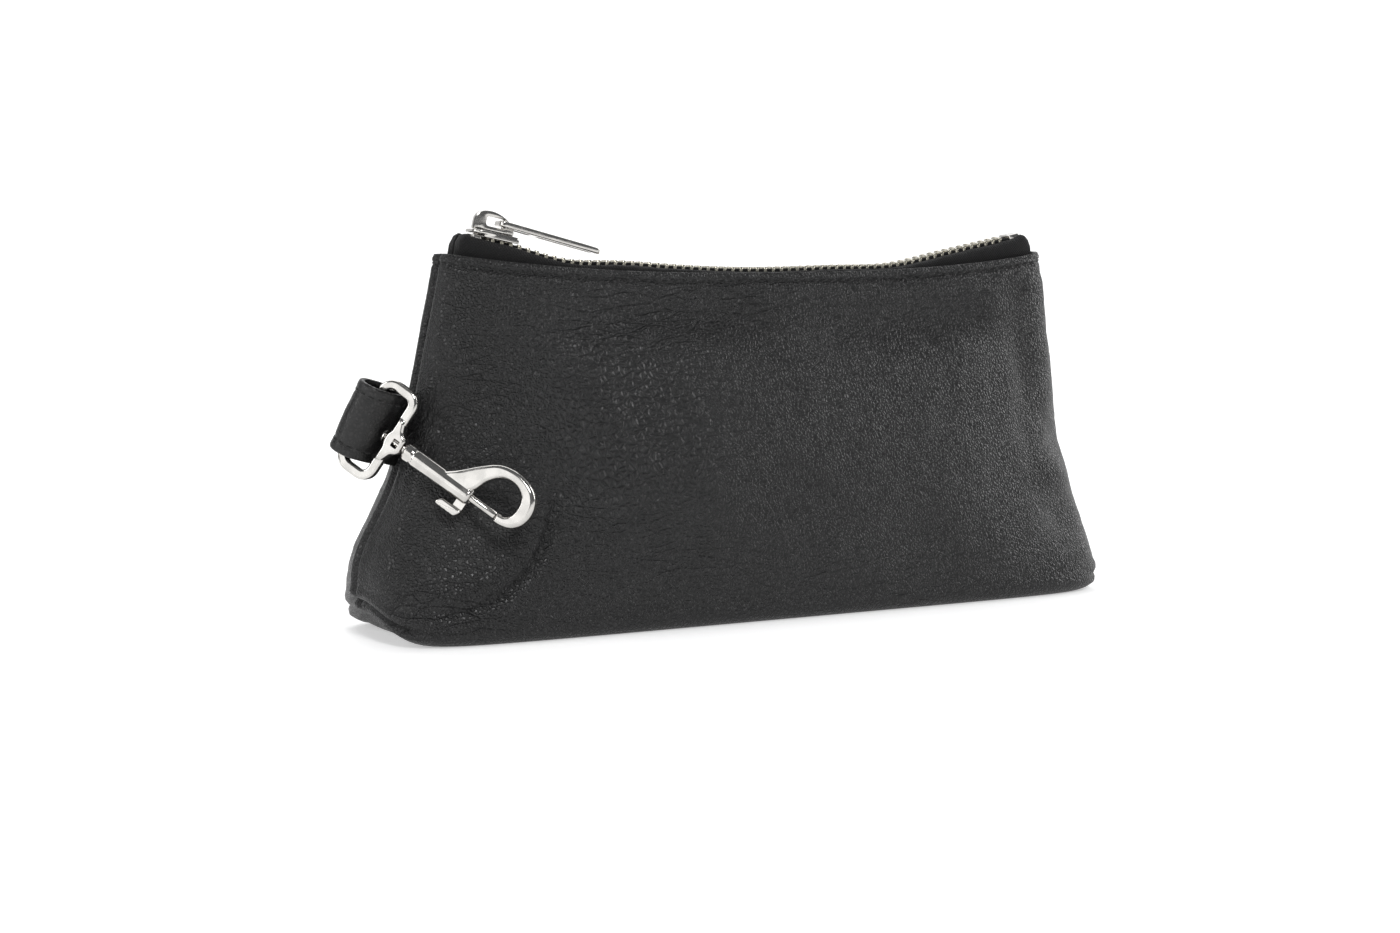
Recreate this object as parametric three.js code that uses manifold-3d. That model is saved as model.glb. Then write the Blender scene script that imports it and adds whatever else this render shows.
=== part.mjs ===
// A small leather makeup bag: two soft panels that box out at the bottom, a curved metal zip, and a
// swivel snap hook on a strap loop sewn into the left side seam.
// Millimetres. Origin on the floor under the middle of the base, X along the bag, -Y is the front.
import * as THREE from "three";
import { mergeVertices } from "three/addons/utils/BufferGeometryUtils.js";
import Module from "manifold-3d";

const wasm = await Module();
wasm.setup();

const rad = THREE.MathUtils.degToRad;
const clamp = THREE.MathUtils.clamp;
const lerp = THREE.MathUtils.lerp;
const vec = (x, y, z) => new THREE.Vector3(x, y, z);

// ---- Driving dimensions -----------------------------------------------------------------------------

// Bag
const baseLength = 226;
const baseDepth = 58;
const mouthLength = 195.6;
const mouthDepth = 16;
const height = 101.5; // floor to the hem at the two ends of the mouth
const hemSag = 5.6; // how much lower the hem is halfway along
const hemPower = 2.5; // of the sag's curve
const mouthShift = 4.9; // the slumped mouth sits this far to the right of the base
const leatherThickness = 1.2;
const liningThickness = 0.5;
const baseEdgeRadius = 4;
const cornerLift = 6.5; // the boxed corner seams ride this far above the floor
const leftBulge = 6.5; // how far the left end swells out above its corner seam
const leftBulgeHeight = 20;
const leftBulgeSpread = 16;
const rightDraw = 3.2; // how far the right end leans in above the base
const rightDrawHeight = 34; // and the height by which it has
const endPower = 12; // how closely the shape of an end keeps to that end
const wallBend = 1.25; // over 1, the depth shrinks later than the length on the way up
const boxyPower = 6.8; // of the outline at the base and the mouth
const roundPower = 3.4; // and halfway up
const bottomSeamOffset = 2; // the bottom seam lies behind the centre line, on leather at the centre
const cornerSeamInset = 4.5;
const fitGap = 0.3; // between any two pieces that touch
const hemBandT = 0.9; // the hem's band starts this far up the wall, where the lining meets the tape

// Zip
const arcRise = 8.55; // how much higher the chain is at the slider's resting place than at its lowest
const chainAboveHem = 0.9; // height of its middle plane above the sagging hem, halfway along
const toothPitch = 2.65;
const toothHeight = 1.9;
const toothReach = 0.9; // how far a tooth passes the centre line
const chainHalfWidth = 2.9;
const cordWidth = 1.2;
const tapeThickness = 0.5;
const tapeSpan = 0.96; // share of the mouth's half length that the tape covers each way
const tapeShoulder = 1; // flat of the tape outside the slider's flanges
const sliderLength = 13.5;
const sliderInset = 14.1; // from the left end of the mouth to the slider's middle, along the chain
const bottomStopInset = 11.6; // from the right end of the mouth to the bottom stop
const bottomStopLength = 3.6;
const plateThickness = 1;
const flangeThickness = 1;
const neckLength = 3;
const neckHalfWidth = 1.1;
const neckInset = 1.6; // from the slider's nose to its neck
const flangeInset = 3; // from the slider's nose to the start of its flanges
const noseFlare = 0.5; // each side, where the rows of teeth come in
const topStopLength = 2.5;
const topStopInset = 0.3; // from the slider's nose, when the zip is shut
const stopProud = 0.2; // how far the bottom stop stands above the teeth

// Pull
const pullLength = 31;
const pullWidth = 6;
const pullThickness = 1.6;
const pullWindow = 8.2;
const pullDroop = 3; // degrees below the slider's own plane
const bridgeThickness = 2.2;
const bridgeBar = 1.5; // metal above and below the bridge's hole
const bridgeLength = 12;
const bridgeHoleLength = 5.4;
const pullPlay = 0.5; // each side of the pull in that hole

// Strap loop
const strapWidth = 20;
const strapThickness = 1.5;
const barSeat = 11.4; // from its root to the ring's bar
const barPlay = 3; // from the bar to the inside of the fold
const strapRootZ = 55;
const strapStandOff = 2.2; // the loop starts this far out of the seam
const strapSlack = 1.7; // between the bar and the strap on each side of it
const strapOut = vec(-0.93, -0.25, 0.27);
const strapAcross = vec(0.38, -0.27, 0.885);

// Swivel ring and hook. Their own frame: X runs along the hook from the ring's inner bar, Z along that bar.
const hookAxis = vec(0.574, -0.614, -0.542);
const barAxis = vec(0.468, -0.297, 0.832);
const strapPlay = 2; // how much longer the ring's bar is than the strap is wide
const ringInnerWidth = 6.6;
const ringWire = 2.8;
const ringCorner = 3;
const bossLength = 4.8;
const bossHalfWidth = 2.6;
const bossHalfDepth = 2;
const rivetShank = 1.8;
const rivetHead = 4.4;
const rivetHeadHeight = 1.2;
const bossWindow = 1.8;
const bossWindowHalf = 1.1;
const swivelPlay = 0.6; // from the boss to the barrel
const barrelLength = 22.1;
const barrelDiameter = 4.9;
const barrelBore = 3.2;
const barrelEndWall = 1.6;
const rivetSocket = 3;
const hookThickness = 3.8;
const pinDiameter = 2.1;
const tipReach = 8.4; // from the barrel's end to the tip that the pin closes on
const gateTravel = 6.5;
const slotWidth = 2;
const armLength = 2.8;
const knobLength = 6.7;
const knobDepth = 2.2;
const knobClear = 1.65; // from the barrel to the knob's near face
const knobThickness = 4;
const pistonLength = 5;
const springPlay = 0.4;
const springWire = 0.36;
const springTurns = 6;

// Facets
const endColumns = 5;
const frontColumns = 16;
const bottomRows = 2;
const roundRows = 3;
const wallRows = 6;
const flatBottomRows = bottomRows + 1;

// ---- Materials --------------------------------------------------------------------------------------

function material(color, roughness, metalness) {
  return new THREE.MeshStandardMaterial({ color, roughness, metalness });
}

const leather = () => material(0x2b2b2d, 0.5, 0);
const liningCloth = () => material(0x1d1d1f, 0.9, 0);
const wovenTape = () => material(0x101011, 0.85, 0);
const toothMetal = () => material(0xcfc9b4, 0.3, 1);
const nickel = () => material(0xd9d9da, 0.15, 1);
const springSteel = () => material(0x9a9da0, 0.3, 1);

// ---- Solids -----------------------------------------------------------------------------------------

function toManifold(geometry) {
  const plain = geometry.clone();
  plain.deleteAttribute("normal");
  plain.deleteAttribute("uv");
  const merged = mergeVertices(plain, 1e-4);
  const vertProperties = new Float32Array(merged.attributes.position.array);
  const triVerts = new Uint32Array(merged.index.array);
  return new wasm.Manifold(new wasm.Mesh({ numProp: 3, vertProperties, triVerts }));
}

function fromManifold(solid) {
  const mesh = solid.getMesh();
  const geometry = new THREE.BufferGeometry();
  geometry.setAttribute("position", new THREE.BufferAttribute(mesh.vertProperties, 3));
  geometry.setIndex(new THREE.BufferAttribute(mesh.triVerts, 1));
  geometry.computeVertexNormals();
  return geometry;
}

function join(geometries) {
  const solids = geometries.map(toManifold);
  return fromManifold(solids.slice(1).reduce((sum, solid) => sum.add(solid), solids[0]));
}

function cut(geometry, cutters) {
  const solid = toManifold(geometry);
  return fromManifold(cutters.map(toManifold).reduce((rest, cutter) => rest.subtract(cutter), solid));
}

function box(x0, x1, y0, y1, z0, z1) {
  const geometry = new THREE.BoxGeometry(x1 - x0, y1 - y0, z1 - z0);
  return geometry.translate((x0 + x1) / 2, (y0 + y1) / 2, (z0 + z1) / 2);
}

// A round bar along X.
function bar(x0, x1, radius, sides = 20) {
  const geometry = new THREE.CylinderGeometry(radius, radius, x1 - x0, sides);
  return geometry.rotateZ(-Math.PI / 2).translate((x0 + x1) / 2, 0, 0);
}

// A flat shape in X and Z, given thickness along Y about the middle plane, with eased edges.
function plateXZ(shape, thickness, ease, curveSegments = 6) {
  const geometry = new THREE.ExtrudeGeometry(shape, {
    depth: thickness - 2 * ease,
    bevelEnabled: ease > 0,
    bevelThickness: ease,
    bevelSize: ease,
    bevelOffset: -ease,
    bevelSegments: 2,
    curveSegments,
  });
  return geometry.translate(0, 0, ease - thickness / 2).rotateX(Math.PI / 2);
}

function polygon(points) {
  return new THREE.Shape(points.map(([x, y]) => new THREE.Vector2(x, y)));
}

// ---- The bag's surface ------------------------------------------------------------------------------

// Columns run from the left side seam round one panel to the right one, as directions on a unit square.
function panelColumns() {
  const columns = [];
  for (let i = 0; i < endColumns; i += 1) {
    columns.push([-1, i / endColumns]);
  }
  for (let i = 0; i <= frontColumns; i += 1) {
    columns.push([-1 + (2 * i) / frontColumns, 1]);
  }
  for (let i = endColumns - 1; i >= 0; i -= 1) {
    columns.push([1, i / endColumns]);
  }
  return columns;
}

// A direction on the unit square, drawn in to the rounded outline of power p.
function squareToOutline([dx, dy], p) {
  const size = (Math.abs(dx) ** p + Math.abs(dy) ** p) ** (1 / p);
  return [dx / size, dy / size];
}

// Boxy at the base and the mouth, rounder between them.
const outlinePower = (t) => lerp(roundPower, boxyPower, (2 * t - 1) ** 2);
const hemHeight = (cx) => height - hemSag * (1 - Math.abs(cx) ** hemPower);
const atEnd = (cx) => Math.abs(cx) ** endPower;
const liftAt = (cx, cy) => cornerLift * atEnd(cx) * Math.cos((Math.PI / 2) * cy) ** 2;

// How far an end stands out past the straight taper: the left one bulges, the right one leans in.
function endSwell(cx, cy, z) {
  if (cx > 0) {
    return -rightDraw * atEnd(cx) * THREE.MathUtils.smoothstep(z, baseEdgeRadius + cornerLift, rightDrawHeight);
  }
  const hump = Math.exp(-(((z - leftBulgeHeight) / leftBulgeSpread) ** 2));
  return leftBulge * atEnd(cx) * hump * (1 - cy * cy);
}

// A point of the outer face: t runs from the base (0) to the hem (1), side is -1 in front and 1 behind.
function wallPoint(direction, t, side, inset = 0, drop = 0) {
  const [cx, cy] = squareToOutline(direction, outlinePower(t));
  const halfLength = lerp(baseLength, mouthLength, t) / 2 - inset;
  const halfDepth = lerp(baseDepth, mouthDepth, t ** wallBend) / 2 - inset;
  const low = liftAt(cx, cy);
  const z = lerp(low + baseEdgeRadius, hemHeight(cx), t) - drop;
  const x = mouthShift * t + halfLength * cx + Math.sign(cx) * endSwell(cx, cy, z);
  return vec(x, side * Math.max(halfDepth * cy, fitGap / 2), z);
}

// One panel's outer face: across the bottom from the bottom seam, round the base edge, and up the wall.
function panelGrid(side) {
  return panelColumns().map((direction) => {
    const rows = [];
    const edge = wallPoint(direction, 0, side, baseEdgeRadius, baseEdgeRadius);
    for (let j = 0; j < bottomRows; j += 1) {
      const s = j / bottomRows;
      const seamX = clamp(edge.x, -baseLength / 2 + baseEdgeRadius, baseLength / 2 - baseEdgeRadius);
      const shrink = 1 - cornerSeamInset / (baseLength / 2);
      const y = lerp(bottomSeamOffset + (side * fitGap) / 2, edge.y, s);
      rows.push(vec(lerp(seamX * shrink, edge.x, s), y, edge.z * s * s));
    }
    for (let j = 0; j < roundRows; j += 1) {
      const a = (Math.PI / 2) * (j / roundRows);
      const inset = baseEdgeRadius * (1 - Math.sin(a));
      const drop = baseEdgeRadius * Math.cos(a);
      rows.push(wallPoint(direction, 0, side, inset, drop));
    }
    for (let j = 0; j <= wallRows; j += 1) {
      rows.push(wallPoint(direction, j < wallRows ? (hemBandT * j) / (wallRows - 1) : 1, side));
    }
    return rows;
  });
}

// The grid moved along its own normals, and straight down under the bottom rows.
function offsetGrid(grid, distance, side, flatRows = 0) {
  return grid.map((rows, i) =>
    rows.map((point, j) => {
      if (j < flatRows) {
        return point.clone().add(vec(0, 0, -distance));
      }
      const across = grid[Math.min(i + 1, grid.length - 1)][j].clone().sub(grid[Math.max(i - 1, 0)][j]);
      const up = rows[Math.min(j + 1, rows.length - 1)].clone().sub(rows[Math.max(j - 1, 0)]);
      if (flatRows > 0 && (i === 0 || i === grid.length - 1)) {
        across.set(0, across.y, 0);
      }
      const normal = across.cross(up).normalize();
      return point.clone().addScaledVector(normal, -side * distance);
    }),
  );
}

// A closed sheet between two grids of the same size.
function sheetBetween(outer, inner, side) {
  const columns = outer.length;
  const rows = outer[0].length;
  const positions = [...outer.flat(), ...inner.flat()].flatMap((p) => p.toArray());
  const at = (layer, i, j) => (layer * columns + i) * rows + j;
  const index = [];
  const quad = (a, b, c, d) => {
    const [p, q] = side < 0 ? [b, d] : [d, b];
    index.push(a, p, c, a, c, q);
  };
  for (let i = 0; i < columns - 1; i += 1) {
    for (let j = 0; j < rows - 1; j += 1) {
      quad(at(0, i, j), at(0, i + 1, j), at(0, i + 1, j + 1), at(0, i, j + 1));
      quad(at(1, i, j), at(1, i, j + 1), at(1, i + 1, j + 1), at(1, i + 1, j));
    }
    quad(at(0, i, 0), at(1, i, 0), at(1, i + 1, 0), at(0, i + 1, 0));
    quad(at(0, i, rows - 1), at(0, i + 1, rows - 1), at(1, i + 1, rows - 1), at(1, i, rows - 1));
  }
  for (let j = 0; j < rows - 1; j += 1) {
    quad(at(0, 0, j), at(0, 0, j + 1), at(1, 0, j + 1), at(1, 0, j));
    quad(at(0, columns - 1, j), at(1, columns - 1, j), at(1, columns - 1, j + 1), at(0, columns - 1, j + 1));
  }
  const geometry = new THREE.BufferGeometry();
  geometry.setAttribute("position", new THREE.Float32BufferAttribute(positions, 3));
  geometry.setIndex(index);
  geometry.computeVertexNormals();
  return geometry;
}

function panel(side) {
  const outer = panelGrid(side);
  return sheetBetween(outer, offsetGrid(outer, -leatherThickness, side, flatBottomRows), side);
}

function lining(side) {
  const outer = panelGrid(side);
  const layer = (depth) => offsetGrid(outer, -depth, side, flatBottomRows).map((rows) => rows.slice(0, -1));
  const face = leatherThickness + fitGap;
  return sheetBetween(layer(face), layer(face + liningThickness), side);
}

// ---- The zip ----------------------------------------------------------------------------------------

const sliderRestS = sliderInset - mouthLength / 2; // along the chain from its lowest point
const bottomStopS = mouthLength / 2 - bottomStopInset;
const arcRadius = (sliderRestS ** 2 + arcRise ** 2) / (2 * arcRise);
const arcLowX = mouthShift;
const arcLowZ = height - hemSag + chainAboveHem;
const toothWidth = toothPitch / 2 - fitGap;

// A point of the chain: s along it, y across it, up from its middle plane.
function onChain(s, y, up) {
  const angle = s / arcRadius;
  const reach = arcRadius - up;
  return vec(arcLowX + reach * Math.sin(angle), y, arcLowZ + arcRadius - reach * Math.cos(angle));
}

const chainHeightAt = (x) => arcLowZ + arcRadius - Math.sqrt(arcRadius ** 2 - (x - arcLowX) ** 2);

function bendToChain(geometry) {
  const position = geometry.attributes.position;
  for (let i = 0; i < position.count; i += 1) {
    const point = onChain(position.getX(i), position.getY(i), position.getZ(i));
    position.setXYZ(i, point.x, point.y, point.z);
  }
  geometry.computeVertexNormals();
  return geometry;
}

const teethStart = sliderRestS - sliderLength / 2 + neckInset + neckLength + fitGap;
const teethEnd = bottomStopS - fitGap;

// A slab made of the filled cells of a grid in X and Y, from z0 to z1.
function cellSlab(xs, ys, filled, z0, z1) {
  const positions = [];
  const index = [];
  const corner = (i, j, z) => {
    positions.push(xs[i], ys[j], z);
    return positions.length / 3 - 1;
  };
  const quad = (a, b, c, d) => {
    const [p, q, r, t] = [a, b, c, d].map(([i, j, z]) => corner(i, j, z));
    index.push(p, q, r, p, r, t);
  };
  for (let i = 0; i < xs.length - 1; i += 1) {
    for (let j = 0; j < ys.length - 1; j += 1) {
      if (filled(i, j)) {
        quad([i, j, z1], [i + 1, j, z1], [i + 1, j + 1, z1], [i, j + 1, z1]);
        quad([i, j, z0], [i, j + 1, z0], [i + 1, j + 1, z0], [i + 1, j, z0]);
        const walls = [
          [i, j - 1, [i, j], [i + 1, j]],
          [i + 1, j, [i + 1, j], [i + 1, j + 1]],
          [i, j + 1, [i + 1, j + 1], [i, j + 1]],
          [i - 1, j, [i, j + 1], [i, j]],
        ];
        for (const [ni, nj, from, to] of walls) {
          const inside = ni >= 0 && nj >= 0 && ni < xs.length - 1 && nj < ys.length - 1;
          if (!(inside && filled(ni, nj))) {
            quad([...from, z0], [...to, z0], [...to, z1], [...from, z1]);
          }
        }
      }
    }
  }
  const geometry = new THREE.BufferGeometry();
  geometry.setAttribute("position", new THREE.Float32BufferAttribute(positions, 3));
  geometry.setIndex(index);
  return geometry;
}

// One row of teeth on its cord, as a comb bent to the chain's arc.
function teethRow(side) {
  const first = teethStart + (side < 0 ? fitGap : toothPitch / 2 + fitGap);
  const count = Math.floor((teethEnd - first - toothWidth) / toothPitch);
  const stations = [teethStart];
  for (let i = 0; i < count; i += 1) {
    stations.push(first + i * toothPitch, first + i * toothPitch + toothWidth);
  }
  stations.push(teethEnd);
  const root = chainHalfWidth - cordWidth;
  const across = side < 0 ? [-chainHalfWidth, -root, toothReach] : [-toothReach, root, chainHalfWidth];
  const cordCell = side < 0 ? 0 : 1;
  const filled = (i, j) => j === cordCell || i % 2 === 1;
  return bendToChain(cellSlab(stations, across, filled, -toothHeight / 2, toothHeight / 2));
}

const tapeAboveLining = 0.01; // as a share of the wall's height

// One side's tape: level beside the teeth, then over and down inside the hem.
function tape(side) {
  const seamT = hemBandT + tapeAboveLining;
  const edgeY = chainHalfWidth + fitGap;
  const flatY = edgeY + flangeThickness + tapeShoulder;
  const inside = leatherThickness + fitGap + tapeThickness / 2;
  const covered = panelColumns().map((d) => Math.abs(squareToOutline(d, outlinePower(1))[0]) <= tapeSpan);
  const inner = offsetGrid(panelGrid(side), -inside, side, flatBottomRows).filter((rows, i) => covered[i]);
  const middle = inner.map((rows) => {
    const hem = rows[rows.length - 1];
    const foot = rows[rows.length - 2].clone().lerp(hem, (seamT - hemBandT) / (1 - hemBandT));
    const z = chainHeightAt(hem.x);
    return [foot, hem, vec(hem.x, side * flatY, z), vec(hem.x, side * edgeY, z)];
  });
  const half = tapeThickness / 2;
  return sheetBetween(offsetGrid(middle, half, side), offsetGrid(middle, -half, side), side);
}

// Crimped over one tape's edge, beside the slider's neck when the zip is shut.
function topStop(side) {
  const s = sliderRestS - sliderLength / 2 + topStopInset;
  const inner = neckHalfWidth + fitGap;
  const [y0, y1] = side < 0 ? [-chainHalfWidth, -inner] : [inner, chainHalfWidth];
  return bendToChain(box(s, s + topStopLength, y0, y1, -toothHeight / 2, toothHeight / 2));
}

function bottomStop() {
  const half = chainHalfWidth;
  const upper = toothHeight / 2 + stopProud;
  return bendToChain(box(bottomStopS, bottomStopS + bottomStopLength, -half, half, -upper, upper));
}

// ---- The slider, in its own frame: X along the chain, Z up from the chain's middle plane -------------

const channelHalf = toothHeight / 2 + fitGap;
const plateTop = channelHalf + plateThickness;
const sliderHalfWidth = chainHalfWidth + fitGap + flangeThickness;

function sliderPlate(z0, z1) {
  const half = sliderLength / 2;
  const nose = sliderHalfWidth + noseFlare;
  const outline = polygon([
    [-half, -nose + 1.2], [-half + 1.5, -nose], [-half + 6, -sliderHalfWidth], [half, -sliderHalfWidth],
    [half, sliderHalfWidth], [-half + 6, sliderHalfWidth], [-half + 1.5, nose], [-half, nose - 1.2],
  ]);
  return new THREE.ExtrudeGeometry(outline, { depth: z1 - z0, bevelEnabled: false }).translate(0, 0, z0);
}

function sliderBody() {
  const half = sliderLength / 2;
  const inner = chainHalfWidth + fitGap;
  const lip = tapeThickness / 2 + fitGap;
  const sink = 0.2; // how far joined pieces reach into each other
  const pieces = [sliderPlate(channelHalf, plateTop), sliderPlate(-plateTop, -channelHalf)];
  for (const side of [-1, 1]) {
    const [y0, y1] = side < 0 ? [-sliderHalfWidth, -inner] : [inner, sliderHalfWidth];
    const [x0, x1] = [-half + flangeInset, half - sink];
    pieces.push(box(x0, x1, y0, y1, lip, channelHalf + sink));
    pieces.push(box(x0, x1, y0, y1, -channelHalf - sink, -lip));
  }
  const neckStart = -half + neckInset;
  const tail = neckStart + neckLength;
  const neck = polygon([
    [neckStart, 0], [neckStart + 1, -neckHalfWidth], [tail - 1.2, -neckHalfWidth], [tail, 0],
    [tail - 1.2, neckHalfWidth], [neckStart + 1, neckHalfWidth],
  ]);
  const depth = 2 * (channelHalf + sink);
  pieces.push(new THREE.ExtrudeGeometry(neck, { depth, bevelEnabled: false }).translate(0, 0, -depth / 2));
  return join(pieces);
}

const bridgeFoot = plateTop + fitGap / 2;
const bridgeHoleX = 0.2; // middle of the bridge's hole along the slider
const bridgeHoleHeight = pullThickness + 2 * pullPlay;
const bridgeHeight = 2 * bridgeBar + bridgeHoleHeight;
const bridgeHoleZ = bridgeFoot + bridgeBar + bridgeHoleHeight / 2;

function sliderBridge() {
  const half = bridgeLength / 2;
  const top = bridgeFoot + bridgeHeight;
  const outline = new THREE.Shape();
  outline.moveTo(-half, bridgeFoot);
  outline.lineTo(half, bridgeFoot);
  outline.quadraticCurveTo(half, bridgeFoot + 2.4, half - 2.4, top - 1.6);
  outline.quadraticCurveTo(1, top, -1.5, top);
  outline.quadraticCurveTo(-half, top, -half, bridgeFoot + 2.4);
  outline.closePath();
  const through = bridgeThickness;
  const [x0, x1] = [bridgeHoleX - bridgeHoleLength / 2, bridgeHoleX + bridgeHoleLength / 2];
  const [z0, z1] = [bridgeHoleZ - bridgeHoleHeight / 2, bridgeHoleZ + bridgeHoleHeight / 2];
  return cut(plateXZ(outline, bridgeThickness, 0.35, 5), [box(x0, x1, -through, through, z0, z1)]);
}

// The pull hangs by its head bar in the bridge's hole, with the bridge standing in its window.
const pullPivotX = bridgeHoleX + bridgeHoleLength / 2 - fitGap - pullThickness / 2;
const pullPivotZ = bridgeHoleZ;

function pullTab() {
  const half = pullWidth / 2;
  const headHalf = pullThickness / 2;
  const outline = new THREE.Shape();
  outline.moveTo(-headHalf, -half + 0.8);
  outline.quadraticCurveTo(-headHalf, -half, 0, -half);
  outline.lineTo(pullLength - 2.2, -half + 0.6);
  outline.quadraticCurveTo(pullLength - headHalf, -half + 0.6, pullLength - headHalf, 0);
  outline.quadraticCurveTo(pullLength - headHalf, half - 0.6, pullLength - 2.2, half - 0.6);
  outline.lineTo(0, half);
  outline.quadraticCurveTo(-headHalf, half, -headHalf, half - 0.8);
  outline.closePath();
  const ease = 0.3;
  const tab = new THREE.ExtrudeGeometry(outline, {
    depth: pullThickness - 2 * ease,
    bevelThickness: ease,
    bevelSize: ease,
    bevelOffset: -ease,
    bevelSegments: 1,
    curveSegments: 4,
  });
  const windowHalf = bridgeThickness / 2 + fitGap;
  const windowEnd = headHalf + pullWindow;
  const window = box(headHalf, windowEnd, -windowHalf, windowHalf, -pullThickness, pullThickness);
  return cut(tab.translate(0, 0, ease - pullThickness / 2), [window]);
}

// ---- The strap loop, in its own frame: X out from the side seam, Z across the strap -------------------

// The loop's outside line in X and Y, from the seam round the fold and back.
function strapLine(inset) {
  const bulge = ringWire / 2 + strapSlack + strapThickness - inset;
  const tip = barSeat + ringWire / 2 + barPlay + strapThickness - inset;
  const root = strapThickness + 0.1 - inset;
  const line = [[0, -root]];
  line.push([2.5, -root - 0.3], [5.5, -bulge * 0.86], [8.5, -bulge]);
  for (let i = 0; i <= 8; i += 1) {
    const a = -Math.PI / 2 + (Math.PI * i) / 8;
    line.push([tip - bulge + bulge * Math.cos(a), bulge * Math.sin(a)]);
  }
  line.push([8.5, bulge], [5.5, bulge * 0.86], [2.5, root + 0.3], [0, root]);
  return line;
}

function strapLoop() {
  const outer = strapLine(0);
  const inner = strapLine(strapThickness).reverse();
  const shape = polygon([...outer, ...inner]);
  const loop = new THREE.ExtrudeGeometry(shape, { depth: strapWidth, bevelEnabled: false });
  return loop.translate(0, 0, -strapWidth / 2);
}

// ---- The ring and hook, in the hook's frame ----------------------------------------------------------

const ringHalfLength = (strapWidth + strapPlay + ringWire) / 2;
const ringSpan = ringInnerWidth + ringWire;
const bossStart = ringSpan - ringWire / 2 + 0.6;
const bossEnd = bossStart + bossLength;

// A round wire bent to a closed rounded rectangle in X and Z.
function ringWireLoop() {
  const sides = 10;
  const arcSteps = 4;
  const centres = [
    [ringSpan - ringCorner, ringHalfLength - ringCorner, 0],
    [ringCorner, ringHalfLength - ringCorner, 90],
    [ringCorner, -ringHalfLength + ringCorner, 180],
    [ringSpan - ringCorner, -ringHalfLength + ringCorner, 270],
  ];
  const loop = [];
  for (const [x, z, start] of centres) {
    for (let i = 0; i <= arcSteps; i += 1) {
      const a = rad(start + (90 * i) / arcSteps);
      loop.push([x + ringCorner * Math.cos(a), z + ringCorner * Math.sin(a), a]);
    }
  }
  const positions = [];
  const index = [];
  loop.forEach(([x, z, a], i) => {
    for (let k = 0; k < sides; k += 1) {
      const b = (2 * Math.PI * k) / sides;
      const out = (ringWire / 2) * Math.cos(b);
      positions.push(x + out * Math.cos(a), (ringWire / 2) * Math.sin(b), z + out * Math.sin(a));
      const next = (i + 1) % loop.length;
      const across = (k + 1) % sides;
      index.push(i * sides + k, i * sides + across, next * sides + across);
      index.push(i * sides + k, next * sides + across, next * sides + k);
    }
  });
  const geometry = new THREE.BufferGeometry();
  geometry.setAttribute("position", new THREE.Float32BufferAttribute(positions, 3));
  geometry.setIndex(index);
  return geometry;
}

function swivelRing() {
  const shoulder = 2 * bossHalfWidth;
  const boss = polygon([
    [bossStart - 0.8, -bossHalfWidth + 0.6], [bossStart - 0.8, bossHalfWidth - 0.6],
    [bossStart, bossHalfWidth], [ringSpan + 0.4, shoulder], [ringSpan + 1.3, shoulder - 0.8],
    [bossEnd - 0.6, bossHalfWidth], [bossEnd, bossHalfWidth - 0.7], [bossEnd, -bossHalfWidth + 0.7],
    [bossEnd - 0.6, -bossHalfWidth], [ringSpan + 1.3, -shoulder + 0.8], [ringSpan + 0.4, -shoulder],
    [bossStart, -bossHalfWidth],
  ]);
  const body = join([ringWireLoop(), plateXZ(boss, 2 * bossHalfDepth, 0.4)]);
  const bore = bar(bossStart - 2, bossEnd + 1, rivetShank / 2 + fitGap, 16);
  const windowEnd = bossEnd - 1.2;
  const through = bossHalfDepth + 1;
  const window = box(windowEnd - bossWindow, windowEnd, -through, through, -bossWindowHalf, bossWindowHalf);
  return cut(body, [bore, window]);
}

const barrelStart = bossEnd + swivelPlay;
const barrelEnd = barrelStart + barrelLength;
const tipX = barrelEnd + tipReach;
const pinEnd = tipX - fitGap;
const boreStart = barrelStart + rivetSocket + 1;
const boreEnd = barrelEnd - barrelEndWall;
const armEnd = barrelEnd - 0.2;
const armStart = armEnd - armLength;
const knobTop = -(barrelDiameter / 2 + knobClear);

function swivelRivet() {
  const headFace = bossStart - 0.8 - fitGap;
  const profile = [[0, headFace - rivetHeadHeight]];
  for (let i = 1; i <= 4; i += 1) {
    const a = rad((90 * i) / 4);
    profile.push([(rivetHead / 2) * Math.sin(a), headFace - rivetHeadHeight * Math.cos(a)]);
  }
  profile.push([rivetShank / 2, headFace], [rivetShank / 2, barrelStart + rivetSocket - fitGap]);
  profile.push([0, barrelStart + rivetSocket - fitGap]);
  const points = profile.map(([r, x]) => new THREE.Vector2(r, x));
  return new THREE.LatheGeometry(points, 16).rotateZ(-Math.PI / 2);
}

// The neck rises off the barrel and turns round to the tip that the pin closes on.
function hookBow() {
  const half = pinDiameter / 2 + 0.25;
  const top = barrelDiameter / 2;
  const outer = [
    [-9.2, top - 0.15], [-6.4, top + 2.15], [-1.9, 9], [2.2, 12], [7.6, 12.9], [12.4, 11.7], [15.2, 9.2],
    [16.3, 5.7], [15.6, 2.2], [13.6, -0.2], [10.9, -1.25], [tipReach, -half],
  ];
  const inner = [
    [tipReach, half], [10.3, 1.5], [11.8, 3], [12.1, 6], [10.9, 8.6], [8, 9.9], [4.5, 9.2],
    [1.7, 6.5], [0.5, top + 0.95], [-0.6, top - 0.55],
  ];
  const smooth = (points, count) =>
    new THREE.SplineCurve(points.map(([x, z]) => new THREE.Vector2(barrelEnd + x, z))).getPoints(count);
  const start = new THREE.Vector2(barrelEnd - 11.5, 0.9);
  const shape = new THREE.Shape([start, ...smooth(outer, 26), ...smooth(inner, 20)]);
  return plateXZ(shape, hookThickness, 0.8);
}

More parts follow.
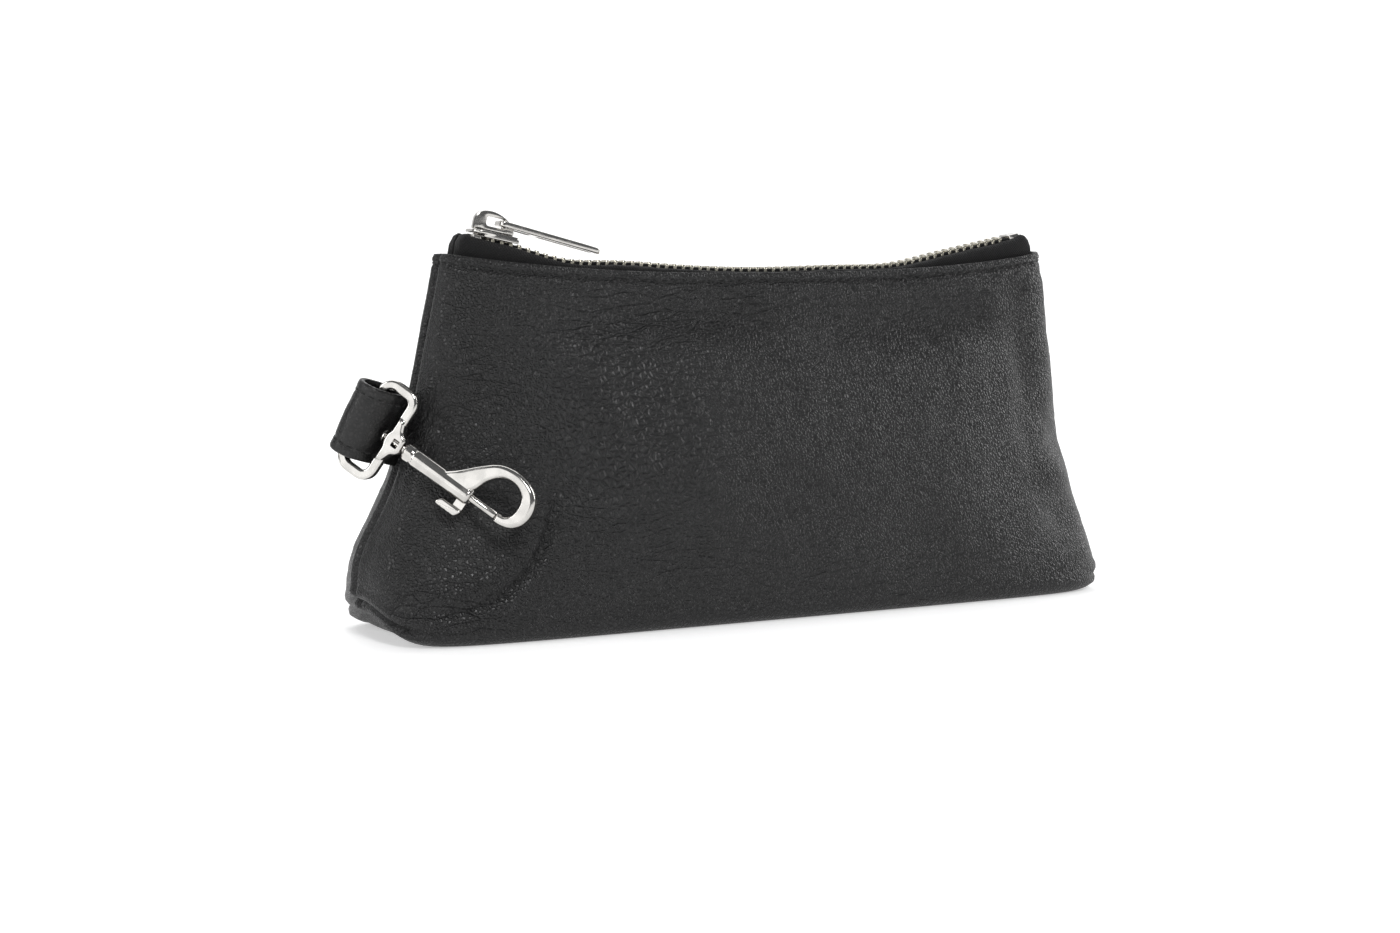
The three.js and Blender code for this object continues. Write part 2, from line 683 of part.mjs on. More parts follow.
function hookBody() {
  const barrel = bar(barrelStart, barrelEnd, barrelDiameter / 2, 20);
  const body = join([barrel, hookBow()]);
  const bore = bar(boreStart, boreEnd, barrelBore / 2, 16);
  const exit = bar(boreEnd - 1, barrelEnd + 3, pinDiameter / 2 + fitGap, 16);
  const socket = bar(barrelStart - 1, barrelStart + rivetSocket, rivetShank / 2 + fitGap, 16);
  const slotStart = armStart - gateTravel - fitGap;
  const slot = box(slotStart, barrelEnd + 1, -slotWidth / 2, slotWidth / 2, -barrelDiameter, 0);
  return cut(body, [bore, exit, socket, slot]);
}

function gateBolt() {
  const piston = bar(boreEnd - fitGap - pistonLength, boreEnd - fitGap, barrelBore / 2 - fitGap, 14);
  const pin = bar(boreEnd - fitGap - 1, pinEnd, pinDiameter / 2, 14);
  const armHalf = slotWidth / 2 - fitGap;
  const arm = box(armStart, armEnd, -armHalf, armHalf, knobTop - 0.6, -0.3);
  const knobStart = armEnd - knobLength;
  const lean = 0.7;
  const knob = polygon([
    [knobStart + lean, knobTop], [armEnd, knobTop], [armEnd + 0.3, knobTop - 0.5],
    [armEnd - lean, knobTop - knobDepth], [knobStart, knobTop - knobDepth],
    [knobStart - 0.5, knobTop - knobDepth + 0.6],
  ]);
  return join([piston, pin, arm, plateXZ(knob, knobThickness, 0.4)]);
}

class Helix extends THREE.Curve {
  constructor(start, end, radius, turns) {
    super();
    Object.assign(this, { start, end, radius, turns });
  }

  getPoint(t, target = new THREE.Vector3()) {
    const a = 2 * Math.PI * this.turns * t;
    return target.set(lerp(this.start, this.end, t), this.radius * Math.cos(a), this.radius * Math.sin(a));
  }
}

// Pushes the gate shut, from the closed end of the bore.
function gateSpring() {
  const start = boreStart + fitGap + springWire / 2;
  const end = boreEnd - 2 * fitGap - pistonLength - springWire / 2;
  const path = new Helix(start, end, (barrelBore - springWire) / 2 - springPlay, springTurns);
  const wire = new THREE.Shape();
  wire.absarc(0, 0, springWire / 2, 0, 2 * Math.PI, false);
  const steps = springTurns * 9;
  return new THREE.ExtrudeGeometry(wire, { steps, extrudePath: path, curveSegments: 3 });
}

// ---- Assembly ---------------------------------------------------------------------------------------

function mesh(name, geometry, surface) {
  const piece = new THREE.Mesh(geometry, surface);
  piece.name = name;
  return piece;
}

// A group whose X and Z axes point along the two directions given, made square.
function framed(place, xAxis, zAxis) {
  const x = xAxis.clone().normalize();
  const y = zAxis.clone().cross(x).normalize();
  const z = x.clone().cross(y);
  const group = new THREE.Group();
  group.setRotationFromMatrix(new THREE.Matrix4().makeBasis(x, y, z));
  group.position.copy(place);
  group.updateMatrixWorld();
  return group;
}

const bag = new THREE.Group();
bag.name = "makeup_bag";

for (const [word, side] of [["front", -1], ["back", 1]]) {
  bag.add(mesh(`${word}_panel`, panel(side), leather()));
  bag.add(mesh(`${word}_lining`, lining(side), liningCloth()));
  bag.add(mesh(`${word}_tape`, tape(side), wovenTape()));
  bag.add(mesh(`${word}_teeth`, teethRow(side), toothMetal()));
  bag.add(mesh(`${word}_top_stop`, topStop(side), nickel()));
}
bag.add(mesh("bottom_stop", bottomStop(), nickel()));

const slider = new THREE.Group();
slider.position.copy(onChain(sliderRestS, 0, 0));
slider.rotation.y = -sliderRestS / arcRadius;
slider.add(mesh("slider_body", sliderBody(), nickel()));
slider.add(mesh("slider_bridge", sliderBridge(), nickel()));
const pull = mesh("pull_tab", pullTab(), nickel());
pull.position.set(pullPivotX, 0, pullPivotZ);
pull.rotation.y = rad(pullDroop);
slider.add(pull);
bag.add(slider);

const seamFoot = cornerLift + baseEdgeRadius;
const rootT = (strapRootZ - seamFoot) / (height - seamFoot);
const strapRoot = wallPoint([-1, 0], rootT, -1).setY(0);
const strap = framed(strapRoot.clone().addScaledVector(strapOut, strapStandOff), strapOut, strapAcross);
strap.add(mesh("strap_loop", strapLoop(), leather()));
bag.add(strap);

const barPlace = strap.localToWorld(vec(barSeat, 0, 0));
const hook = framed(barPlace, hookAxis, barAxis);
hook.add(mesh("swivel_ring", swivelRing(), nickel()));
hook.add(mesh("swivel_rivet", swivelRivet(), nickel()));
hook.add(mesh("hook_body", hookBody(), nickel()));
hook.add(mesh("gate_bolt", gateBolt(), nickel()));
hook.add(mesh("gate_spring", gateSpring(), springSteel()));
bag.add(hook);

export default bag;
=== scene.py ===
# %% [markdown]
# # A small leather makeup bag
#
# The bag is two soft leather panels sewn face to face at the sides and along the bottom, with the bottom
# corners boxed out so that it stands up. A metal zip closes its curved mouth, and a swivel snap hook hangs
# from a strap loop in the left side seam. The frame that this lesson loads already holds every piece at
# its real size. Each step below makes one piece, or one finish, the way that piece looks on a real bag.

# %% Load the frame
import math

import bmesh
import bpy
import numpy as np
from mathutils import Matrix, Vector, noise


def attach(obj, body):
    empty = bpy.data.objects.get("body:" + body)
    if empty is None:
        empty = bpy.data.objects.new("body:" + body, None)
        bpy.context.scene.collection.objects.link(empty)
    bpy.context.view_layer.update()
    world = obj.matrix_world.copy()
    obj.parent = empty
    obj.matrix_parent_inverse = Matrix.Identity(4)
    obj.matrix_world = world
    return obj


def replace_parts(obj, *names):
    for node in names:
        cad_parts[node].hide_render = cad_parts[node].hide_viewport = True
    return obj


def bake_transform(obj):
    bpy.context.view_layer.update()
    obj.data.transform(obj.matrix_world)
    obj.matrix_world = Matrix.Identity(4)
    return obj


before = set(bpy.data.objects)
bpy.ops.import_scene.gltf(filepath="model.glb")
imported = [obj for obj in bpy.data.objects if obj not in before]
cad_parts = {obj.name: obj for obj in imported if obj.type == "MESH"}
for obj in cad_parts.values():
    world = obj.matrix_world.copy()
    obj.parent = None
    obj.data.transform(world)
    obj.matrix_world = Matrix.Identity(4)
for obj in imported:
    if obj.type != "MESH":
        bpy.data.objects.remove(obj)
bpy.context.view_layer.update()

MM = 0.001

# %% [markdown]
# ## The camera
#
# A long lens from a little above the bag keeps its upright edges nearly parallel, as a shop picture does.
# The camera stands in front of the bag and to its left, and looks slightly down. A wide lens close by would
# show more of the top, but it would make the near corner look too big.

# %% Set up the camera
CAMERA_PLACE = Vector((-323.2, -578.2, 107.1)) * MM
CAMERA_TURN = math.radians(28.117)
CAMERA_DROP = math.radians(5.734)

camera_data = bpy.data.cameras.new("viewpoint")
camera_data.lens = 59.4
camera_data.sensor_width = 36
camera = bpy.data.objects.new("viewpoint", camera_data)
camera.location = CAMERA_PLACE
camera.rotation_euler = (math.pi / 2 - CAMERA_DROP, 0, -CAMERA_TURN)
bpy.context.scene.collection.objects.link(camera)
bpy.context.scene.camera = camera
print("camera is", round(CAMERA_PLACE.length, 3), "m from the bag")

# %% [markdown]
# ## The studio
#
# Black leather and bright metal are both shown by what they reflect, so the lights are big soft panels.
# One hangs overhead and behind, and makes the floor white. One in front, up and to the left, gives the grain
# its sheen. One on each side draws that end of the bag, and a broad card on the far left is what the flat
# face of the hook mirrors. The floor curves up behind the bag, so no line shows.

# %% Make the floor and its backdrop
FLOOR_HALF = 3.0
FLOOR_FRONT = -3.0
SWEEP_START = 0.9
SWEEP_RADIUS = 0.8
SWEEP_HEIGHT = 3.0


def floor_line():
    line = [(FLOOR_FRONT, 0.0), (SWEEP_START, 0.0)]
    for step in range(1, 17):
        a = math.pi / 2 * step / 16
        line.append((SWEEP_START + SWEEP_RADIUS * math.sin(a), SWEEP_RADIUS * (1 - math.cos(a))))
    line.append((SWEEP_START + SWEEP_RADIUS, SWEEP_HEIGHT))
    return line


def make_floor():
    line = floor_line()
    corners = [(x, y, z) for y, z in line for x in (-FLOOR_HALF, FLOOR_HALF)]
    faces = [(2 * i, 2 * i + 1, 2 * i + 3, 2 * i + 2) for i in range(len(line) - 1)]
    mesh = bpy.data.meshes.new("floor")
    mesh.from_pydata(corners, [], faces)
    mesh.shade_smooth()
    floor = bpy.data.objects.new("floor", mesh)
    bpy.context.scene.collection.objects.link(floor)
    floor.rotation_euler = (0, 0, -CAMERA_TURN)
    return floor


paper = bpy.data.materials.new("white_paper")
paper.use_nodes = True
paper_shader = paper.node_tree.nodes["Principled BSDF"]
paper_shader.inputs["Base Color"].default_value = (0.86, 0.86, 0.86, 1)
paper_shader.inputs["Roughness"].default_value = 0.9
paper_shader.inputs["Specular IOR Level"].default_value = 0.1
paper_shader.inputs["Emission Color"].default_value = (1, 1, 1, 1)
paper_shader.inputs["Emission Strength"].default_value = 0.42
floor = make_floor()
floor.data.materials.append(paper)
print("floor is", 2 * FLOOR_HALF, "m wide")


# %% Hang the lights
def softbox(name, place, aim, width, height, watts):
    data = bpy.data.lights.new(name, "AREA")
    data.shape = "RECTANGLE"
    data.size = width
    data.size_y = height
    data.energy = watts
    lamp = bpy.data.objects.new(name, data)
    lamp.location = place
    lamp.rotation_euler = (Vector(aim) - Vector(place)).to_track_quat("-Z", "Y").to_euler()
    bpy.context.scene.collection.objects.link(lamp)
    return lamp


BAG_MIDDLE = (0, 0, 0.05)
softbox("overhead", (0.1, 0.75, 1.5), BAG_MIDDLE, 1.8, 1.2, 12)
softbox("left_panel", (-0.3, -1.45, 1.1), BAG_MIDDLE, 0.45, 0.45, 13)
softbox("right_panel", (1.3, 0.0, 0.5), BAG_MIDDLE, 0.4, 0.8, 7)
softbox("far_left_panel", (-1.3, 0.1, 0.6), BAG_MIDDLE, 0.4, 0.9, 5)
softbox("hook_card", (-1.4, -0.75, 0.3), BAG_MIDDLE, 1.0, 0.9, 4)

world = bpy.data.worlds.new("studio_air")
world.use_nodes = True
world.node_tree.nodes["Background"].inputs["Color"].default_value = (0.9, 0.92, 0.95, 1)
world.node_tree.nodes["Background"].inputs["Strength"].default_value = 0.16
bpy.context.scene.world = world
bpy.context.scene.view_settings.view_transform = "Standard"

# %% [markdown]
# ## Helpers for meshes
#
# Nearly every piece here is a grid of points that is bent into place: a panel, a tape, a wire or a strap.
# So one helper closes a grid into a solid, one sweeps a section along a line, and one turns a profile on
# an axis. Working in millimetres keeps the numbers close to what a maker would measure.


# %% Turn points and faces into a piece
def make_piece(name, points, faces, material, body, slot, sharp_angle=None):
    """Points are in millimetres. The piece rides on a body, unless body is None. The slot is not used."""
    mesh = bpy.data.meshes.new(name)
    mesh.from_pydata([tuple(p) for p in np.asarray(points, float) * MM], [], faces)
    mesh.validate()
    mesh.shade_smooth()
    if sharp_angle is not None:
        mesh.set_sharp_from_angle(angle=math.radians(sharp_angle))
    mesh.materials.append(material)
    piece = bpy.data.objects.new(name, mesh)
    bpy.context.scene.collection.objects.link(piece)
    if body:
        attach(piece, body)
    print(name, "has", len(mesh.polygons), "faces")
    return piece


def joined(parts):
    """Several (points, faces) as one."""
    points, faces = [], []
    for part_points, part_faces in parts:
        start = len(points)
        points.extend(part_points)
        faces.extend([tuple(start + i for i in face) for face in part_faces])
    return points, faces


def placed(part, matrix):
    """A part in millimetres moved by a 4x4 matrix in millimetres."""
    points, faces = part
    return [matrix @ Vector(p) for p in points], faces


# %% Close a grid, sweep a section, turn a profile
def closed_loft(grid):
    """A grid whose rows are closed loops, skinned from the first column to the last; its ends are left open.
    """
    columns, rows = grid.shape[:2]
    at = lambda i, j: i * rows + j % rows
    faces = []
    for i in range(columns - 1):
        for j in range(rows):
            faces.append((at(i, j), at(i, j + 1), at(i + 1, j + 1), at(i + 1, j)))
    return grid.reshape(-1, 3), faces


def sheet(outer, inner, flip=False):
    """A closed solid between two grids of the same size, whose edges are joined by strips."""
    columns, rows = outer.shape[:2]
    at = lambda layer, i, j: (layer * columns + i) * rows + j
    faces = []
    for i in range(columns - 1):
        for j in range(rows - 1):
            faces.append((at(0, i, j), at(0, i + 1, j), at(0, i + 1, j + 1), at(0, i, j + 1)))
            faces.append((at(1, i, j), at(1, i, j + 1), at(1, i + 1, j + 1), at(1, i + 1, j)))
        faces.append((at(0, i, 0), at(1, i, 0), at(1, i + 1, 0), at(0, i + 1, 0)))
        last = rows - 1
        faces.append((at(0, i, last), at(0, i + 1, last), at(1, i + 1, last), at(1, i, last)))
    for j in range(rows - 1):
        last = columns - 1
        faces.append((at(0, 0, j), at(0, 0, j + 1), at(1, 0, j + 1), at(1, 0, j)))
        faces.append((at(0, last, j), at(1, last, j), at(1, last, j + 1), at(0, last, j + 1)))
    if flip:
        faces = [face[::-1] for face in faces]
    return np.concatenate([outer.reshape(-1, 3), inner.reshape(-1, 3)]), faces


def swept(path, section, up, closed=False):
    """A closed section (across, up) carried along a path, with its up direction held."""
    path = np.asarray(path, float)
    up = np.asarray(up, float)
    if up.ndim == 1:
        up = np.tile(up, (len(path), 1))
    if closed:
        tangent = np.roll(path, -1, 0) - np.roll(path, 1, 0)
    else:
        tangent = np.gradient(path, axis=0)
    tangent /= np.linalg.norm(tangent, axis=1, keepdims=True)
    side = np.cross(tangent, up)
    side /= np.linalg.norm(side, axis=1, keepdims=True)
    rise = np.cross(side, tangent)
    section = np.asarray(section, float)
    grid = path[:, None] + side[:, None] * section[None, :, :1] + rise[:, None] * section[None, :, 1:]
    points, faces = closed_loft(grid)
    count = len(section)
    start = (len(path) - 1) * count
    if closed:
        for j in range(count):
            k = (j + 1) % count
            faces.append((start + j, start + k, k, j))
    else:
        faces.append(tuple(range(count))[::-1])
        faces.append(tuple(range(start, start + count)))
    return [Vector(p) for p in points], faces


def circle(radius, sides, squash=1.0):
    turn = [2 * math.pi * k / sides for k in range(sides)]
    return [(radius * math.cos(a), squash * radius * math.sin(a)) for a in turn]


def turned(profile, sides=40):
    """A profile of (x, radius), from axis to axis, turned about X."""
    points, faces = [], []
    for x, radius in profile:
        for k in range(sides):
            a = 2 * math.pi * k / sides
            points.append(Vector((x, radius * math.cos(a), radius * math.sin(a))))
    for i in range(len(profile) - 1):
        for k in range(sides):
            j = (k + 1) % sides
            faces.append((i * sides + k, i * sides + j, (i + 1) * sides + j, (i + 1) * sides + k))
    faces.append(tuple(range(sides))[::-1])
    last = (len(profile) - 1) * sides
    faces.append(tuple(range(last, last + sides)))
    return points, faces


# %% Smooth outlines and plates with eased edges
def smooth_line(points, count):
    """A line of count points through the few given, as a Catmull-Rom curve."""
    points = [Vector(p) for p in points]
    ends = [2 * points[0] - points[1]] + points + [2 * points[-1] - points[-2]]
    line = []
    for k in range(count):
        place = (len(points) - 1) * k / (count - 1)
        i = min(int(place), len(points) - 2)
        u = place - i
        a, b, c, d = ends[i : i + 4]
        square, cube = 2 * a - 5 * b + 4 * c - d, 3 * b - a - 3 * c + d
        line.append(0.5 * (2 * b + (c - a) * u + square * u**2 + cube * u**3))
    return line


def inset_outline(outline, depth):
    """A closed outline moved inwards by depth, corner by corner."""
    line = np.asarray([tuple(p) for p in outline], float)
    before = line - np.roll(line, 1, 0)
    after = np.roll(line, -1, 0) - line
    before /= np.linalg.norm(before, axis=1, keepdims=True)
    after /= np.linalg.norm(after, axis=1, keepdims=True)
    lean = before + after
    lean /= np.linalg.norm(lean, axis=1, keepdims=True)
    inward = np.stack([-lean[:, 1], lean[:, 0]], 1)
    stretch = np.clip(1 / np.maximum((lean * after).sum(1), 0.3), 1, 1.6)
    area = 0.5 * np.sum(line[:, 0] * np.roll(line[:, 1], -1) - np.roll(line[:, 0], -1) * line[:, 1])
    return line + np.sign(area) * inward * stretch[:, None] * depth


def plate(outline, thickness, ease, steps=4):
    """An outline in X and Z, with thickness along Y and rounded edges."""
    layers = [(-thickness / 2, 0.0)]
    if ease > 0:
        turns = [math.pi / 2 * (1 - k / steps) for k in range(steps + 1)]
        layers = [(-thickness / 2 + ease * (1 - math.sin(a)), ease * (1 - math.cos(a))) for a in turns]
    layers += [(-y, inset) for y, inset in layers[::-1]]
    points = []
    for y, inset in layers:
        points += [Vector((x, y, z)) for x, z in inset_outline(outline, inset)]
    count = len(outline)
    faces = []
    for i in range(len(layers) - 1):
        for j in range(count):
            k = (j + 1) % count
            faces.append((i * count + j, i * count + k, (i + 1) * count + k, (i + 1) * count + j))
    faces.append(tuple(range(count))[::-1])
    last = (len(layers) - 1) * count
    faces.append(tuple(range(last, last + count)))
    return points, faces


def rounded_corners(outline, radius, steps=4):
    """The outline with each corner rounded off by a small curve."""
    line = [Vector(p) for p in outline]
    made = []
    for i, corner in enumerate(line):
        before, after = line[i - 1], line[(i + 1) % len(line)]
        start = corner + (before - corner).normalized() * min(radius, 0.45 * (before - corner).length)
        end = corner + (after - corner).normalized() * min(radius, 0.45 * (after - corner).length)
        for k in range(steps + 1):
            u = k / steps
            made.append((1 - u) ** 2 * start + 2 * u * (1 - u) * corner + u**2 * end)
    return made


# %% Join and cut pieces as solids
def temporary(part, name="working"):
    points, faces = part
    mesh = bpy.data.meshes.new(name)
    mesh.from_pydata([tuple(Vector(p) * MM) for p in points], [], faces)
    solid = bmesh.new()
    solid.from_mesh(mesh)
    bmesh.ops.recalc_face_normals(solid, faces=solid.faces)
    solid.to_mesh(mesh)
    solid.free()
    made = bpy.data.objects.new(name, mesh)
    bpy.context.scene.collection.objects.link(made)
    return made


def read_out(made):
    """The mesh of an object with its modifiers applied, as (points, faces) in millimetres."""
    shown = made.evaluated_get(bpy.context.evaluated_depsgraph_get())
    mesh = shown.to_mesh()
    points = [v.co / MM for v in mesh.vertices]
    faces = [tuple(p.vertices) for p in mesh.polygons]
    shown.to_mesh_clear()
    return points, faces


def cast(parts, cuts=(), grain=0.16, smoothing=6):
    """Parts melted into one casting with soft inner corners, and then cut."""
    made = temporary(joined(parts))
    melt = made.modifiers.new("melt", "REMESH")
    melt.mode = "VOXEL"
    melt.voxel_size = grain * MM
    melt.use_smooth_shade = True
    polish = made.modifiers.new("polish", "SMOOTH")
    polish.iterations = smoothing
    polish.factor = 0.5
    helpers = [made]
    for part in cuts:
        cutter = temporary(part, "cutter")
        cutter.hide_render = True
        helpers.append(cutter)
        take = made.modifiers.new("take_away", "BOOLEAN")
        take.operation = "DIFFERENCE"
        take.solver = "EXACT"
        take.object = cutter
    result = read_out(made)
    for helper in helpers:
        bpy.data.objects.remove(helper)
    return result


def carved(part, cuts):
    """One part with crisp cuts."""
    made = temporary(part)
    helpers = [made]
    for cut in cuts:
        cutter = temporary(cut, "cutter")
        helpers.append(cutter)
        take = made.modifiers.new("take_away", "BOOLEAN")
        take.operation = "DIFFERENCE"
        take.solver = "EXACT"
        take.object = cutter
    result = read_out(made)
    for helper in helpers:
        bpy.data.objects.remove(helper)
    return result


def block(x0, x1, y0, y1, z0, z1):
    points = [Vector((x, y, z)) for x in (x0, x1) for y in (y0, y1) for z in (z0, z1)]
    faces = [(0, 1, 3, 2), (4, 6, 7, 5), (0, 4, 5, 1), (2, 3, 7, 6), (0, 2, 6, 4), (1, 5, 7, 3)]
    return points, faces

# %% [markdown]
# ## Finishes
#
# Every finish is built from noise and cell textures in the object's own space, in metres, so it keeps its
# scale and never slides. A small helper adds a node and fills its sockets, so that each finish reads as a
# recipe: where we are on the piece, what the surface does there, and how that changes colour and gloss.


# %% A helper for recipes
def new_finish(name, **settings):
    material = bpy.data.materials.new(name)
    material.use_nodes = True
    shader = material.node_tree.nodes["Principled BSDF"]
    for words, value in settings.items():
        shader.inputs[words.replace("_", " ").title().replace("Ior", "IOR")].default_value = value
    return material, material.node_tree, shader


def add(tree, kind, inputs=None, **settings):
    """Adds a node. Inputs are sockets to link from, or plain values."""
    made = tree.nodes.new("ShaderNode" + kind)
    for key, value in settings.items():
        setattr(made, key, value)
    for key, value in (inputs or {}).items():
        if isinstance(value, bpy.types.NodeSocket):
            tree.links.new(value, made.inputs[key])
        else:
            made.inputs[key].default_value = value
    return made


def maths(tree, operation, first, second=0.0, third=0.0):
    return add(tree, "Math", {0: first, 1: second, 2: third}, operation=operation).outputs[0]


def remap(tree, value, low, high, to_low=0.0, to_high=1.0):
    inputs = {"Value": value, "From Min": low, "From Max": high, "To Min": to_low, "To Max": to_high}
    return add(tree, "MapRange", inputs, interpolation_type="SMOOTHSTEP").outputs["Result"]


def blend_value(tree, factor, a, b):
    made = add(tree, "Mix", {0: factor, 2: a, 3: b}, data_type="FLOAT")
    return made.outputs[0]


def blend_colour(tree, factor, a, b):
    made = add(tree, "Mix", {0: factor, 6: (*a, 1), 7: (*b, 1)}, data_type="RGBA")
    return made.outputs[2]


def place_in_piece(tree):
    return add(tree, "TexCoord").outputs["Object"]


def per_mm(size):
    """Texture scale for a feature of this size in millimetres."""
    return 1 / (size * MM)


def noise_texture(tree, where, size, detail=2.0, roughness=0.5):
    inputs = {"Vector": where, "Scale": per_mm(size), "Detail": detail, "Roughness": roughness}
    return add(tree, "TexNoise", inputs).outputs["Fac"]


def stretched(tree, where, turn, scale):
    inputs = {"Vector": where, "Rotation": turn, "Scale": scale}
    return add(tree, "Mapping", inputs).outputs["Vector"]


def raise_surface(tree, shader, height, depth, strength=1.0):
    inputs = {"Height": height, "Distance": depth * MM, "Strength": strength}
    bump = add(tree, "Bump", inputs)
    tree.links.new(bump.outputs["Normal"], shader.inputs["Normal"])
    return bump


# %% [markdown]
# ## Leather
#
# The panels are soft black leather with a tumbled grain. Tumbling opens the grain into pebbles, and they are
# biggest where the skin was loosest, here a patch up and to the left of the middle. A cell texture measured
# to its edges gives the valleys between pebbles. Long thin cells, turned to lean, give the fine slanting
# creases of the middle. Valleys are duller than the pebbles' worn tops, and shade is painted into them as a
# darker colour.

# %% Mix the leather
PEBBLE = 1.0
LOOSE_PEBBLE = 1.9
LOOSE_PATCH = (-46, -20, 58)
LOOSE_REACH = 76
CREASE_LEAN = math.radians(-38)


def cells(tree, where, size, jitter=1.0):
    inputs = {"Vector": where, "Scale": per_mm(size), "Randomness": jitter}
    return add(tree, "TexVoronoi", inputs, feature="DISTANCE_TO_EDGE").outputs["Distance"]


def wandering(tree, where, size, reach):
    """The place, pushed about by noise, so that no cell edge is straight."""
    drift = add(tree, "TexNoise", {"Vector": where, "Scale": per_mm(size), "Detail": 2.0}).outputs["Color"]
    centred = add(tree, "VectorMath", {0: drift, 1: (0.5, 0.5, 0.5)}, operation="SUBTRACT").outputs[0]
    push = add(tree, "VectorMath", {0: centred, "Scale": reach * MM}, operation="SCALE").outputs[0]
    return add(tree, "VectorMath", {0: where, 1: push}, operation="ADD").outputs[0]


def mix_leather(name, top, shaded_valley, depth, gloss, loose=True):
    material, tree, shader = new_finish(name, roughness=gloss, specular_ior_level=0.42)
    where = place_in_piece(tree)
    drifting = wandering(tree, where, 1.6, 0.9)
    pebbles = remap(tree, cells(tree, drifting, PEBBLE), 0.0, 0.3)
    patch = 0.0
    if loose:
        middle = tuple(v * MM for v in LOOSE_PATCH)
        far = add(tree, "VectorMath", {0: where, 1: middle}, operation="DISTANCE").outputs["Value"]
        uneven = maths(tree, "MULTIPLY_ADD", noise_texture(tree, where, 22), 34 * MM, far)
        patch = remap(tree, uneven, 20 * MM, LOOSE_REACH * MM, 1.0, 0.0)
        big = remap(tree, cells(tree, drifting, LOOSE_PEBBLE), 0.0, 0.34)
        pebbles = blend_value(tree, patch, pebbles, big)
    leaning = stretched(tree, wandering(tree, where, 9, 3.0), (0, CREASE_LEAN, 0), (0.28, 1.0, 1.0))
    creases = remap(tree, cells(tree, leaning, 3.1), 0.0, 0.07)
    crease_show = remap(tree, noise_texture(tree, where, 26, 2), 0.42, 0.62)
    creases = blend_value(tree, crease_show, 1.0, creases)
    pores = noise_texture(tree, where, 0.32, 3, 0.6)
    height = maths(tree, "MULTIPLY", pebbles, blend_value(tree, patch, 0.5, 1.15) if loose else 0.5)
    height = maths(tree, "MULTIPLY_ADD", creases, 0.55, height)
    height = maths(tree, "MULTIPLY_ADD", pores, 0.1, height)
    slow = noise_texture(tree, where, 7, 3)
    height = maths(tree, "MULTIPLY_ADD", slow, 0.6, height)
    raise_surface(tree, shader, height, depth)
    # One mask: the pebbles' worn tops are glossier, and the colour is painted darker in valleys and creases
    # as shade.
    wear_and_valley_shade = maths(tree, "MULTIPLY", remap(tree, pebbles, 0.2, 1.0), remap(tree, creases, 0.0, 1.0, 0.55, 1.0))
    colour = blend_colour(tree, wear_and_valley_shade, shaded_valley, top)
    tint = remap(tree, noise_texture(tree, where, 30, 3), 0.3, 0.7, 0.86, 1.12)
    toned = add(tree, "VectorMath", {0: colour, "Scale": tint}, operation="SCALE").outputs[0]
    tree.links.new(toned, shader.inputs["Base Color"])
    rough = maths(tree, "MULTIPLY_ADD", wear_and_valley_shade, -0.14, gloss + 0.16)
    rough = maths(tree, "MULTIPLY_ADD", pores, 0.1, rough)
    tree.links.new(rough, shader.inputs["Roughness"])
    return material


# The valley colours are the leather's black darkened as painted shade.
BLACK_TOP = (0.0125, 0.0122, 0.0125)
BLACK_SHADED_VALLEY = (0.004, 0.004, 0.0042)
panel_leather = mix_leather("panel_leather", BLACK_TOP, BLACK_SHADED_VALLEY, 0.36, 0.25)
STRAP_TOP, STRAP_SHADED_VALLEY = (0.011, 0.0105, 0.0105), (0.004, 0.004, 0.004)
strap_leather = mix_leather("strap_hide", STRAP_TOP, STRAP_SHADED_VALLEY, 0.1, 0.22, loose=False)
print("leathers:", panel_leather.name, strap_leather.name)

# %% [markdown]
# ## Woven tape, lining cloth and thread
#
# The zip's tape is a tight twill, the lining is a plain weave, and the thread is a twisted filament. A weave
# is two sets of waves that cross, so two wave textures are enough. The waves turn with the cloth: the tape
# is woven along the zip, and the thread's twist runs slantwise round it.


# %% Mix the cloths
def mix_weave(name, colour, thread_size, slant, gloss, fuzz):
    material, tree, shader = new_finish(name, roughness=gloss, specular_ior_level=0.3)
    shader.inputs["Sheen Weight"].default_value = fuzz
    shader.inputs["Sheen Roughness"].default_value = 0.5
    where = place_in_piece(tree)
    sets = []
    for turn in (slant, slant + math.pi / 2):
        turned_place = stretched(tree, where, (0, turn, 0.4), (1, 1, 1))
        inputs = {"Vector": turned_place, "Scale": per_mm(thread_size) / (2 * math.pi) * 2, "Distortion": 0.6}
        wave = add(tree, "TexWave", inputs, wave_type="BANDS", bands_direction="X", wave_profile="SIN")
        sets.append(wave.outputs["Fac"])
    weave = maths(tree, "MAXIMUM", sets[0], sets[1])
    lint = noise_texture(tree, where, 0.25, 4, 0.65)
    height = maths(tree, "MULTIPLY_ADD", lint, 0.8, weave)
    raise_surface(tree, shader, height, 0.14)
    # The gaps between the threads are painted darker, as shade.
    gap_shade_colour = tuple(0.4 * c for c in colour)
    tree.links.new(blend_colour(tree, weave, gap_shade_colour, colour), shader.inputs["Base Color"])
    rough = maths(tree, "MULTIPLY_ADD", lint, 0.15, gloss - 0.05)
    tree.links.new(rough, shader.inputs["Roughness"])
    return material


zip_twill = mix_weave("zip_twill", (0.008, 0.0078, 0.0082), 0.55, 0.7, 0.8, 0.03)
lining_cloth = mix_weave("lining_cloth", (0.03, 0.03, 0.032), 0.4, 0.0, 0.8, 0.2)
black_thread = mix_weave("black_thread", (0.012, 0.012, 0.012), 0.3, 0.9, 0.5, 0.1)
print("cloths:", zip_twill.name, lining_cloth.name, black_thread.name)

